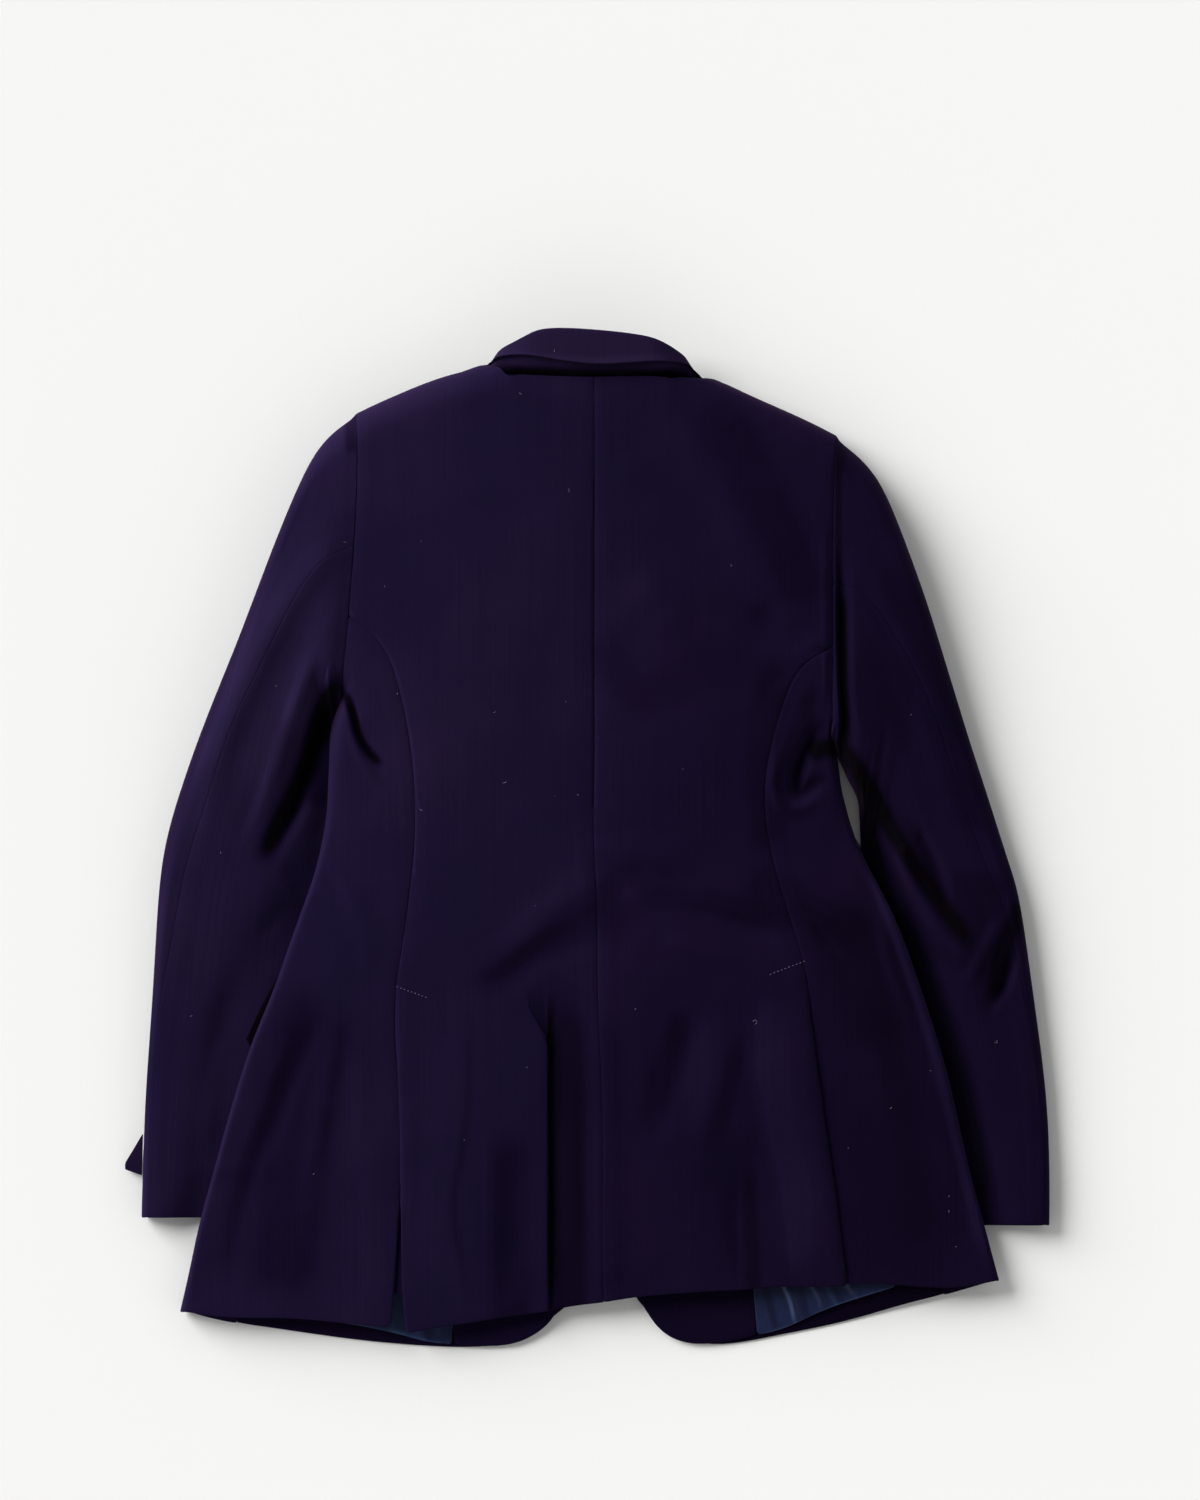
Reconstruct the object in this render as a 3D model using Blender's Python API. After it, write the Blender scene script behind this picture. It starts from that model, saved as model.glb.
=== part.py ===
"""A slim tailored blazer, buttoned and laid flat on its front, back upwards.

+X is to the right, +Y runs from the hem to the collar and +Z is up. The garment rests on z = 0.
The tables hold millimetres as measured on the garment; every mesh is made in metres.
Each piece of cloth is a grid of points on its outer face, which is then given its thickness inwards.
"""

from math import cos, exp, hypot, pi, sin, sqrt

import bmesh
import bpy
from mathutils import Matrix, Vector
from mathutils.bvhtree import BVHTree

MM = 0.001
SEAM = 0.3            # gap that is left between two pieces where they are sewn
ARMHOLE_SEAM = 0.2    # from the armhole's curve to the body
SLEEVE_SEAM = 0.3     # and to the sleeve
TIP_GAP = 1.0         # from the top of a side body to the back panel above it
HIDDEN_SEAM = 0.7     # between a front and a sleeve, underneath
BODY_WALL = 1.6       # cloth and its lining, as one wall
SLEEVE_WALL = 1.2
COLLAR_WALL = 1.7
LAPEL_WALL = 1.8
THIN_WALL = 1.1       # lining, facing, flap and underlap
LAYER = 0.5           # between two layers that lie on each other
TUCKED = 5.0          # height of a sleeve where the body lies on it
OVER_SLEEVE = 5.5     # underside of the body there
OVER_LAPEL = 2.4      # underside of a front over its lapel
OVER_COLLAR = 4.7     # underside of a front over the end of the collar
OVER_FLAP = 2.1      # added over a pocket flap
OVER_BUTTON = 3.1     # underside of the fronts over the button
LAP = 2.7             # added where the left front lies on the right one
LAP_START = -46.0     # x from which the left front rises for that
LAP_FADE = 24.0       # width over which it rises
VENT_LIFT = 2.3       # how far a back panel is lifted over a vent
VENT_FADE = 34.0      # length over which it is lifted
VENT_SHUT = 42.0      # how far below its top a vent still lies shut
VENT_OPENING = 36.0   # length over which it opens below that
VENT_LAP = 3.4        # how far the side body then reaches under the back panel
EDGE_SHARE = 0.42     # where an outline lies between underside and top
SIDE_ROUND = 0.5      # roundness of a side edge, in heights
SHOULDER_ROUND = 0.8  # roundness of a shoulder, in heights
CUFF_ROUND = 0.55     # roundness of a sleeve's outer edge from the elbow down, in heights
UNDER_SEAM = 46.0     # from the side edge to the seam on the front
FRONT_SEAM = 0.72     # place of a sleeve's front seam, underneath, as a share from its outer edge
ARMHOLE_RUN = 0.12    # share of a sleeve over which its sections turn away from the armhole
SLEEVE_RISE = 30.0    # width over which a sleeve rises from under the body
FLAP_FADE = 24.0      # length over which it gives way to a pocket flap
FLAP_ROOM = 12.0      # how far it does
GUIDE = 3.0           # how far beyond an edge a guide point lies
HEM_LEVEL = -370.0    # y near the hem, at which a column's place along it is read

# How far beyond a hidden piece the cloth above it stays lifted, and the width over which it comes down.
OVER_SLEEVE_SIDE = (44.0, 40.0)
OVER_SLEEVE_END = (38.0, 36.0)
OVER_FLAP_EDGE = (30.0, 20.0)
OVER_LAPEL_EDGE = (28.0, 20.0)
OVER_COLLAR_EDGE = (30.0, 20.0)
OVER_BUTTON_EDGE = (34.0, 20.0)
OVER_FRONT_EDGE = (40.0, 40.0)
OVER_VENT_EDGE = (6.0, 50.0)
SLEEVE_TOP_FADE = 26.0

CLOTH_COLOUR = (0.011, 0.007, 0.024)
LINING_COLOUR = (0.014, 0.020, 0.058)
BUTTON_COLOUR = (0.010, 0.009, 0.014)

# Heights of the back's outer face: y, height.
BODY_HEIGHT = (
    (-400, 13.5), (-330, 14), (-200, 15.5), (-100, 17.5), (0, 19.5), (100, 24), (200, 28), (300, 30.5), (400, 31),
)

# Rows of the body's grids, between the hem rows and the rows below the shoulder.
LEVELS = (
    -330, -305, -280, -255, -230, -205, -180, -156, -133, -113, -97, -74, -50, -26, 0, 26, 54, 80, 94, 108, 124,
    138, 150, 162, 174, 207, 242, 278,
)

# Seams and edges seen from above: y, x.
CENTRE_SEAM = (
    (-362, 13), (-305, 12), (-225, 12), (-185, 11), (-141, 9), (-91, 8), (-51, 8), (-22, 6), (8, 5), (68, 6),
    (303, 6), (364, 5.5),
)
LEFT_PRINCESS = (
    (-386, -141), (-354, -144), (-305, -145), (-245, -146), (-205, -147), (-165, -149), (-141, -150), (-115, -149),
    (-91, -145), (-62, -141), (-32, -137), (8, -134), (36, -134), (73, -138), (97, -142), (119, -147), (143, -155),
    (155, -163), (166, -173), (174, -185.4),
)
RIGHT_PRINCESS = (
    (-349, 203), (-305, 198), (-255, 191), (-215, 185), (-165, 178), (-127, 173), (-95, 169), (-77, 163), (-51, 155),
    (-32, 149), (-12, 143), (12, 140), (36, 137), (62, 141), (93, 149), (124, 160), (138, 170), (146, 181),
    (150, 190.6),
)
LEFT_EDGE = (
    (-369, -318), (-335, -310), (-296, -302), (-269, -294), (-235, -285), (-190, -272), (-157, -261), (-131, -250),
    (-105, -240), (-81, -232), (-51, -221), (-22, -211), (8, -205), (28, -202), (46, -200.5), (81, -200), (96, -197),
    (108, -193),
)
RIGHT_EDGE = (
    (-346, 322), (-301, 310), (-257, 298), (-221, 290), (-185, 282), (-139, 268), (-109, 258), (-81, 248), (-58, 239),
    (-27, 222), (-5, 211), (5, 207), (18, 204), (36, 199), (49, 196), (62, 194.5), (80, 193),
)
LEFT_ARMHOLE = (
    (108, -193), (134, -190.2), (167, -186.8), (193, -184.6), (229, -182), (254, -180.3), (277, -179.2),
    (307, -179.2), (331, -181),
)
RIGHT_ARMHOLE = (
    (80, 193), (98, 191.6), (118, 191.2), (151, 191.8), (176, 191.6), (201, 191.2), (226, 191.3), (264, 192),
    (289, 193.2), (314, 195),
)

# Shoulder seams from the armhole to the neck, and the back neck between them: x, y.
LEFT_SHOULDER = ((-181, 331), (-158, 342), (-106, 362), (-84, 366.5))
BACK_NECK = ((-74, 361), (-50, 357.6), (5, 356), (55, 356.8), (80, 355))
RIGHT_SHOULDER = ((195, 314), (178, 323), (135, 342), (92, 358.5))

# Hems: x, y.
BACK_HEM = (
    (-150, -387), (-141, -386), (-115, -381), (-91, -378), (-68, -374), (-30, -369), (-16, -365), (5, -363),
    (13, -362), (37, -358), (73, -355), (102, -353), (132, -352), (150, -349), (172, -350), (210, -349),
)
LEFT_SIDE_HEM = ((-318, -369), (-292, -374), (-240, -374), (-200, -377), (-181, -379), (-140, -382))
RIGHT_SIDE_HEM = ((190, -347), (246, -348), (266, -350), (294, -351), (322, -346))
LEFT_FRONT_HEM = (
    (-318, -369), (-292, -375), (-237, -383), (-180, -391), (-141, -395), (-107, -397), (-67, -398.5), (-51, -395),
    (-39, -390), (-27, -382), (-21, -372), (-16, -365),
)
RIGHT_FRONT_HEM = (
    (37, -359), (44, -372), (52, -385), (64, -393), (80, -397), (102, -396), (132, -390), (161, -385), (205, -376),
    (246, -364), (294, -353), (322, -346),
)

# Front edges, and above them the roll lines of the lapels: y, x.
LEFT_FRONT_EDGE = (
    (-365, -16), (-250, 2), (-120, 13), (-40, 16), (60, -7), (200, -41), (300, -69), (330, -79), (366, -93),
)
RIGHT_FRONT_EDGE = (
    (-359, 37), (-250, 10), (-120, -5), (-40, -8), (60, 15), (200, 49), (293, 76), (321, 86), (360, 99.5),
)

# Edge of the left side body where the vent has opened: y, x.
LEFT_VENT_EDGE = ((-381, -153), (-356, -151), (-315, -148), (-285, -146), (-255, -144), (-205, -144), (-180, -146))

# Sleeves: stations from the armhole to the cuff, as inner edge, outer edge, height and the back seam's
# place across the sleeve, from 0 at the inner edge to 1 at the outer one.
LEFT_SLEEVE = (
    (-193.5, 108, -181, 331, 29, 0.54),
    (-196.5, 102, -195, 324.5, 29, 0.55),
    (-199.5, 95, -209, 307, 29, 0.58),
    (-201.6, 84, -224, 279, 28, 0.63),
    (-202.2, 71, -242, 236, 27, 0.69),
    (-199.8, 56, -261, 186, 25, 0.75),
    (-195.5, 36, -276, 147, 23, 0.80),
    (-192, 12, -292, 108, 21, 0.84),
    (-193, -14, -307, 69, 19, 0.84),
    (-196, -42, -320, 30, 18, 0.84),
    (-200, -74, -331, -9, 17, 0.86),
    (-204, -106, -336, -60, 16, 0.89),
    (-209, -145, -338.5, -110, 15, 0.94),
    (-212, -180, -342, -160, 14, 0.965),
    (-216, -215, -345, -205, 13, 0.965),
    (-219, -250, -346.7, -250, 13, 0.965),
    (-222, -296, -348, -296, 13, 0.965),
)
RIGHT_SLEEVE = (
    (193.5, 80, 195, 314, 29, 0.50),
    (196, 74, 206, 307, 29, 0.53),
    (199, 67, 220, 291, 29, 0.57),
    (203, 58, 234, 268, 28, 0.61),
    (207.5, 47, 249, 230, 27, 0.66),
    (211, 32, 265, 186, 25, 0.72),
    (212.5, 14, 277, 147, 23, 0.78),
    (213.5, -8, 289, 108, 21, 0.82),
    (214, -34, 301, 69, 19, 0.83),
    (215.5, -60, 314, 30, 18, 0.84),
    (217.5, -90, 326, -9, 17, 0.86),
    (219, -122, 337, -42, 16, 0.90),
    (222, -155, 344, -90, 15, 0.93),
    (225, -190, 351, -140, 14, 0.955),
    (228, -225, 357.5, -190, 13, 0.965),
    (231, -262, 361, -240, 13, 0.965),
    (234, -302, 361, -302, 13, 0.965),
)

# Largest folds of the upper side: half width, rise or fall, and the points each one follows.
FOLDS = (
    ("armpit fold, left sleeve", 9, -10, (-206, 112), (-212, 84), (-228, 38), (-250, -5)),
    ("underarm crease, left", 7, -2.5, (-186, 104), (-176, 83), (-160, 57)),
    ("sleeve head ridge, left", 14, 3, (-204, 226), (-236, 185), (-260, 146), (-290, 62)),
    ("underarm valley, right", 9, -5, (179, 88), (163, 55), (163, 38), (186, 50)),
    ("underarm ridge, right", 8, 3, (151, 62), (147, 36), (167, 25), (183, 28)),
    ("shoulder blade band", 22, -1.6, (45, 335), (92, 250), (135, 165)),
    ("waist ridge, left", 9, 3, (-56, -87), (-28, -69), (12, -63)),
    ("waist valley, left", 9, -2.6, (-22, -78), (32, -86)),
    ("waist valley, right", 10, -3.2, (51, -47), (87, -57), (147, -78)),
    ("waist ridge, right", 10, 2.2, (18, -34), (120, -44)),
    ("side pull, right", 8, -2.2, (191, -32), (231, -55)),
    ("vent pull, right", 8, -2, (179, -67), (197, -91)),
    ("skirt valley, middle", 12, -3, (78, -145), (62, -191), (56, -217)),
    ("skirt valley, right", 13, -2.4, (122, -262), (124, -345)),
    ("skirt valley, left side", 13, -3, (-215, -137), (-245, -221), (-286, -345)),
    ("elbow ridge, right sleeve", 8, 4, (239, 4), (257, -44), (298, -98)),
    ("elbow valley, right sleeve", 10, -5, (232, 46), (239, 32), (262, -4), (278, -60)),
    ("forearm valley, right sleeve", 9, -3.5, (231, 0), (240, -32), (257, -81), (275, -135)),
    ("elbow crease, right sleeve", 8, -3, (330, -91), (318, -131)),
)

# Lapels, underneath, as outlines on the surface: x, y.
LEFT_LAPEL = ((-1, 22), (-66, 301), (-103, 292), (-96, 276), (-128, 262), (-92, 160), (-40, 70))
RIGHT_LAPEL = ((0, -24), (72.5, 294), (110, 285), (103, 269), (135, 255), (99, 150), (48, 52))

# Ends of the collar, underneath, as outlines on the surface: x, y.
LEFT_COLLAR_END = ((-62, 303), (-106, 291), (-111, 322), (-108, 350), (-90, 366), (-76, 356))
RIGHT_COLLAR_END = ((69, 296), (113, 284), (118, 315), (115, 343), (97, 359), (83, 349))

# Pocket flaps, underneath, as four corners: the two outer ones first, x, y.
LEFT_FLAP = ((-271, -161), (-212, -54), (-175, -74), (-234, -181))
RIGHT_FLAP = ((241, -54), (199, 14), (163, -9), (205, -77))

# Pleat beside the centre-back seam: y, x of its upper fold.
PLEAT_FOLD = ((-369, -30), (-300, -29), (-232, -30), (-197, -31), (-162, -30), (-127, -33), (0, -33))
PLEAT_TOP = -122.0     # where it starts to form
PLEAT_FULL = -182.0    # from where down it lies folded over
PLEAT_LAP = 9.0        # how far it laps
PLEAT_OUTER = 1.9      # radius of the outer face at its upper fold
PLEAT_INNER = 0.35     # and at its lower fold
PLEAT_SPREAD = 14.0    # width of the same cloth above the pleat
PLEAT_DROP = 3.2       # most that its middle may fall while it forms

# The collar from the left lapel round the neck to the right one: the neck seam, the crest and the outer
# edge of the fall, each x, y, z on the outer face.
COLLAR = (
    ((-84, 298, 4.1), (-65.5, 302, 2.05), (-103, 293, 0)),
    ((-88, 322, 4.1), (-71.5, 326, 2.05), (-108, 320, 0)),
    ((-87, 344, 4.3), (-76.5, 352, 2.3), (-105, 346, 0.2)),
    ((-80, 359, 7.5), (-78, 370, 5.5), (-96, 361.5, 2.2)),
    ((-75, 361.5, 15), (-77, 375, 15), (-86, 371.5, 11)),
    ((-68, 361.5, 22.5), (-68, 381, 24), (-76, 375, 25)),
    ((-50, 358.8, 28.2), (-50, 390.5, 30.5), (-53, 377.5, 34.5)),
    ((-28, 357.3, 28.8), (-34, 398, 32.5), (-33, 374.8, 36.5)),
    ((5, 356.6, 28.8), (3, 397, 33), (3, 369.4, 36.8)),
    ((38, 357.2, 28.8), (40, 393, 32.5), (38, 371.2, 36.5)),
    ((56, 358, 28.2), (58, 388, 30.5), (59, 372.2, 34.5)),
    ((75, 356.5, 22.5), (74, 377, 24), (82, 370, 25)),
    ((83, 354.5, 15), (85, 368.5, 15), (94, 364.5, 11)),
    ((87, 352, 7.5), (86, 362.5, 5.5), (104, 354, 2.2)),
    ((94, 337, 4.3), (83.5, 345, 2.3), (112, 339, 0.2)),
    ((95, 315, 4.1), (78.5, 319, 2.05), (115, 313, 0)),
    ((91, 291, 4.1), (72.5, 295, 2.05), (110, 286, 0)),
)
COLLAR_FOLD = 2.0      # radius of the outer face at the crest

# Facings and linings where they show at the hem, as lower and upper edges: x, y.
LEFT_FACING = (
    ((-104.5, -395.8), (-84, -396.6), (-66, -396.4), (-52, -393), (-41, -387.5), (-31, -380), (-24.5, -371),
     (-20, -361)),
    ((-104, -335), (-92, -335), (-80, -335), (-68, -335), (-56, -335), (-44, -335), (-32, -335), (-17, -335)),
)
RIGHT_FACING = (
    ((41, -361), (47.5, -371), (55, -382), (66, -390.5), (80, -394.6), (95, -394.8), (111, -392.5), (132, -388)),
    ((37, -333), (47, -335), (58, -335), (69, -335), (82, -335), (95, -335), (111, -335), (127, -335)),
)
LEFT_LINING = (
    ((-200, -377), (-177, -380.5), (-158, -384.5), (-141, -388.5), (-126, -393), (-105.5, -395)),
    ((-200, -335), (-181, -335), (-162, -335), (-143, -335), (-124, -335), (-105, -335)),
)
RIGHT_LINING = (
    ((133.5, -387.5), (146, -385), (159, -380.5), (173, -373.5), (194, -364.5), (221, -356), (240, -350)),
    ((128.5, -335), (146, -335), (163, -335), (182, -335), (201, -335), (221, -334), (240, -332)),
)

# Corner of the left cuff's vent that stands out beyond the sleeve: where it starts, x, y, z, and its tip.
CUFF_CORNER_BASE = ((-346.45, -230, 5.9), (-347.05, -247, 5.9), (-347.5, -263, 5.6))
CUFF_CORNER_TIP = ((-358.5, -250.5, 2.6), (-360.6, -254, 2.4), (-360.4, -258.5, 2.2))

# Front button: x, y, radius, thickness, and the width and depth of its sunk middle's rim.
BUTTON = (3.0, -52.0, 10.5, 2.6)
BUTTON_RIM = (2.2, 0.5)

# Vent underlaps: y of the lower ends, how far the upper ends lie below the vents, columns counted outwards
# from the vent's edge, and the gap to the cloth above them.
UNDERLAP_LOW = {"left": -356.0, "right": -338.0}
UNDERLAP_TOP = 8.0
UNDERLAP_COLUMNS = (-32.0, -18.0, -4.0, 10.0)
UNDERLAP_GAP = 0.7

FLAP_CLEARANCE = 0.05  # from a pocket flap to the cloth above it, where the sleeve lifts both
TOP_LEVEL = 345.0      # y near the shoulder, from which a column's upper end is sought


def smooth_step(share):
    """0 below 0, 1 above 1 and an even rise between them."""
    share = min(max(share, 0.0), 1.0)
    return share * share * (3 - 2 * share)


def curve(rows):
    """A function through rows of place and value: smooth between them, straight beyond, with no overshoot."""
    rows = sorted(rows)
    at = [row[0] for row in rows]
    value = [row[1] for row in rows]
    rise = [(value[i + 1] - value[i]) / (at[i + 1] - at[i]) for i in range(len(rows) - 1)]
    slope = [rise[0]]
    for before, after in zip(rise, rise[1:]):
        slope.append(2 * before * after / (before + after) if before * after > 0 else 0.0)
    slope.append(rise[-1])

    def follow(place):
        if place <= at[0]:
            return value[0] + slope[0] * (place - at[0])
        if place >= at[-1]:
            return value[-1] + slope[-1] * (place - at[-1])
        i = max(k for k in range(len(at) - 1) if at[k] <= place)
        width = at[i + 1] - at[i]
        t = (place - at[i]) / width
        start = (1 + 2 * t) * (1 - t) ** 2 * value[i] + t * (1 - t) ** 2 * width * slope[i]
        end = t * t * (3 - 2 * t) * value[i + 1] + t * t * (t - 1) * width * slope[i + 1]
        return start + end

    return follow


def spline(points, t):
    """The point at t, from 0 to 1, on a smooth curve through points of any number of columns."""
    place = min(max(t, 0.0), 1.0) * (len(points) - 1)
    i = min(int(place), len(points) - 2)
    f = place - i
    here = points[i]
    there = points[i + 1]
    before = points[i - 1] if i else [2 * a - b for a, b in zip(here, there)]
    after = points[i + 2] if i + 2 < len(points) else [2 * b - a for a, b in zip(here, there)]
    result = []
    for p0, p1, p2, p3 in zip(before, here, there, after):
        bend = 2 * p0 - 5 * p1 + 4 * p2 - p3
        twist = -p0 + 3 * p1 - 3 * p2 + p3
        result.append(0.5 * (2 * p1 + (p2 - p0) * f + bend * f * f + twist * f ** 3))
    return result


def reach(x, y, line):
    """Distance from a place to an open line of points."""
    nearest = 1e9
    for (ax, ay), (bx, by) in zip(line, line[1:]):
        length = (bx - ax) ** 2 + (by - ay) ** 2
        share = min(max(((x - ax) * (bx - ax) + (y - ay) * (by - ay)) / length, 0.0), 1.0)
        nearest = min(nearest, hypot(x - ax - share * (bx - ax), y - ay - share * (by - ay)))
    return nearest


def outside(x, y, outline):
    """Distance from a place to an outline, 0 inside it."""
    within = False
    for (ax, ay), (bx, by) in zip(outline, outline[1:] + outline[:1]):
        if (ay > y) != (by > y) and x < ax + (y - ay) * (bx - ax) / (by - ay):
            within = not within
    return 0.0 if within else reach(x, y, outline + outline[:1])


def rounded(share):
    """Height of a quarter circle above its end, at a share of its radius."""
    share = min(max(share, 0.0), 1.0)
    return sqrt(1 - (1 - share) ** 2)


def quarter(step, steps):
    """Share of a radius passed at a step from the end of a quarter circle."""
    return 1 - cos(step / steps * pi / 2)


def near(distance, reach_out, fade):
    """1 up to reach_out from something, falling to 0 over fade beyond it."""
    return 1 - smooth_step((distance - reach_out) / fade)


def folds(x, y):
    """Rise of all the large folds at a place."""
    total = 0.0
    for _, width, rise, *line in FOLDS:
        distance = reach(x, y, line)
        if distance < 3 * width:
            total += rise * exp(-((distance / width) ** 2))
    return total


class Side:
    """One side's curves and places; outward is -1 on the left and 1 on the right."""

    def __init__(self, word, outward, curves, shapes, sleeve, free_sleeve, flap_reach, tip, vent):
        self.word = word
        self.outward = outward
        edge, armhole, princess, side_hem, front_hem, front_edge = curves
        self.edge = curve(edge)
        self.armhole = curve(armhole)
        self.princess = curve(princess)
        self.side_hem = curve(side_hem)
        self.front_hem = curve(front_hem)
        self.front_edge = curve(front_edge)
        self.shoulder, self.lapel, self.collar_end, self.flap = shapes
        self.underarm = (armhole[0][1], armhole[0][0])
        self.sleeve = sleeve
        self.sleeve_inner = curve([(row[1], row[0]) for row in sleeve])
        self.cuff = min(row[1] for row in sleeve)
        self.free_sleeve = free_sleeve
        self.flap_reach = flap_reach
        self.tip = tip
        self.vent = vent


LEFT = Side(
    "left", -1,
    (LEFT_EDGE, LEFT_ARMHOLE, LEFT_PRINCESS, LEFT_SIDE_HEM, LEFT_FRONT_HEM, LEFT_FRONT_EDGE),
    (LEFT_SHOULDER, LEFT_LAPEL, LEFT_COLLAR_END, LEFT_FLAP),
    LEFT_SLEEVE, free_sleeve=(66, 110), flap_reach=(-182, -80), tip=174, vent=-113,
)
RIGHT = Side(
    "right", 1,
    (RIGHT_EDGE, RIGHT_ARMHOLE, RIGHT_PRINCESS, RIGHT_SIDE_HEM, RIGHT_FRONT_HEM, RIGHT_FRONT_EDGE),
    (RIGHT_SHOULDER, RIGHT_LAPEL, RIGHT_COLLAR_END, RIGHT_FLAP),
    RIGHT_SLEEVE, free_sleeve=(-2, 64), flap_reach=(-72, 8), tip=150, vent=-97,
)
body_height = curve(BODY_HEIGHT)
centre_seam = curve(CENTRE_SEAM)
back_top = curve(LEFT_SHOULDER + BACK_NECK + RIGHT_SHOULDER[::-1])
back_hem = curve(BACK_HEM)
pleat_fold = curve(PLEAT_FOLD)
left_vent_edge = curve(LEFT_VENT_EDGE)


def flap_floor(side, x, y):
    """Underside of the body before a pocket flap raises it: it clears the sleeve that is tucked below."""
    inner = abs(side.sleeve_inner(min(max(y, side.cuff), side.underarm[1])))
    start = side.free_sleeve[0]
    across = near(inner - abs(x), *OVER_SLEEVE_SIDE)
    from_below = near(side.cuff - y, *OVER_SLEEVE_END)
    from_above = near(y, start, SLEEVE_TOP_FADE)
    return OVER_SLEEVE * across * from_below * from_above


def side_floor(side, x, y):
    """Underside of the side body and of the front beside it."""
    return flap_floor(side, x, y) + OVER_FLAP * near(outside(x, y, side.flap), *OVER_FLAP_EDGE)


def front_floor(side, x, y):
    """Underside of a front: over the tucked sleeve, the flap, lapel, collar, button and the other front."""
    floor = max(
        side_floor(side, x, y),
        OVER_LAPEL * near(outside(x, y, side.lapel), *OVER_LAPEL_EDGE),
        OVER_COLLAR * near(outside(x, y, side.collar_end), *OVER_COLLAR_EDGE),
        OVER_BUTTON * near(hypot(x - BUTTON[0], y - BUTTON[1]), *OVER_BUTTON_EDGE),
    )
    if side is LEFT:
        floor += LAP * smooth_step((x - LAP_START) / LAP_FADE) * near(y, *OVER_FRONT_EDGE)
    return floor


def outline_share(side, x, y, thick):
    """How far up its rounded outline a place of the body lies, from 0 at the outline to 1."""
    if y < side.underarm[1]:
        to_side = abs(x - side.edge(y))
    else:
        to_side = hypot(x - side.underarm[0], y - side.underarm[1])
    neck_x, neck_y = side.shoulder[-1]
    to_shoulder = hypot(x - neck_x, y - neck_y) if abs(x) < abs(neck_x) else back_top(x) - y
    return min(to_side / (SIDE_ROUND * thick), to_shoulder / (SHOULDER_ROUND * thick))


def beside(line, y):
    """Shift along X that leaves half a seam beside a line at y."""
    return SEAM / 2 * hypot(1, (line(y + 1) - line(y - 1)) / 2)


def vent_lift(side, x, y):
    """Lift of a back panel where it lies over a side vent."""
    inward = abs(side.princess(y)) - abs(x)
    return VENT_LIFT * smooth_step((side.vent - 2 - y) / VENT_FADE) * near(inward, *OVER_VENT_EDGE)


def body_top(side, x, y, distance=None):
    """Height of the outer face of the upper side, at a known distance from the side edge if one is given."""
    height = body_height(y)
    floor = side_floor(side, x, y)
    edge = floor + EDGE_SHARE * (height - floor)
    if distance is None:
        share = outline_share(side, x, y, height - floor)
    else:
        share = distance / (SIDE_ROUND * (height - floor))
    return edge + (height + folds(x, y) * smooth_step(share) - edge) * rounded(share)


def body_under(side, x, y, floor):
    """Height of the outer face of the under side, which faces down."""
    height = body_height(y)
    lowest = side_floor(side, x, y)
    edge = lowest + EDGE_SHARE * (height - lowest)
    return edge - (edge - floor) * rounded(outline_share(side, x, y, height - lowest))


def material(name, colour, roughness):
    """A plain finish for one kind of piece."""
    made = bpy.data.materials.new(name)
    made.use_nodes = True
    shader = made.node_tree.nodes["Principled BSDF"]
    shader.inputs["Base Color"].default_value = (*colour, 1)
    shader.inputs["Roughness"].default_value = roughness
    made.diffuse_color = (*colour, 1)
    return made


def piece(name, shape, finish):
    """An object from a finished shape."""
    mesh = bpy.data.meshes.new(name)
    shape.to_mesh(mesh)
    shape.free()
    mesh.shade_smooth()
    mesh.materials.append(finish)
    made = bpy.data.objects.new(name, mesh)
    bpy.context.scene.collection.objects.link(made)
    return made


def even_normal(corner, facing):
    """The way a corner faces, evened out with the corners around it. A corner on a rim keeps its own."""
    if corner.is_boundary:
        return facing[corner]
    total = facing[corner] * 2
    for edge in corner.link_edges:
        total += facing[edge.other_vert(corner)]
    return total.normalized()


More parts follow.
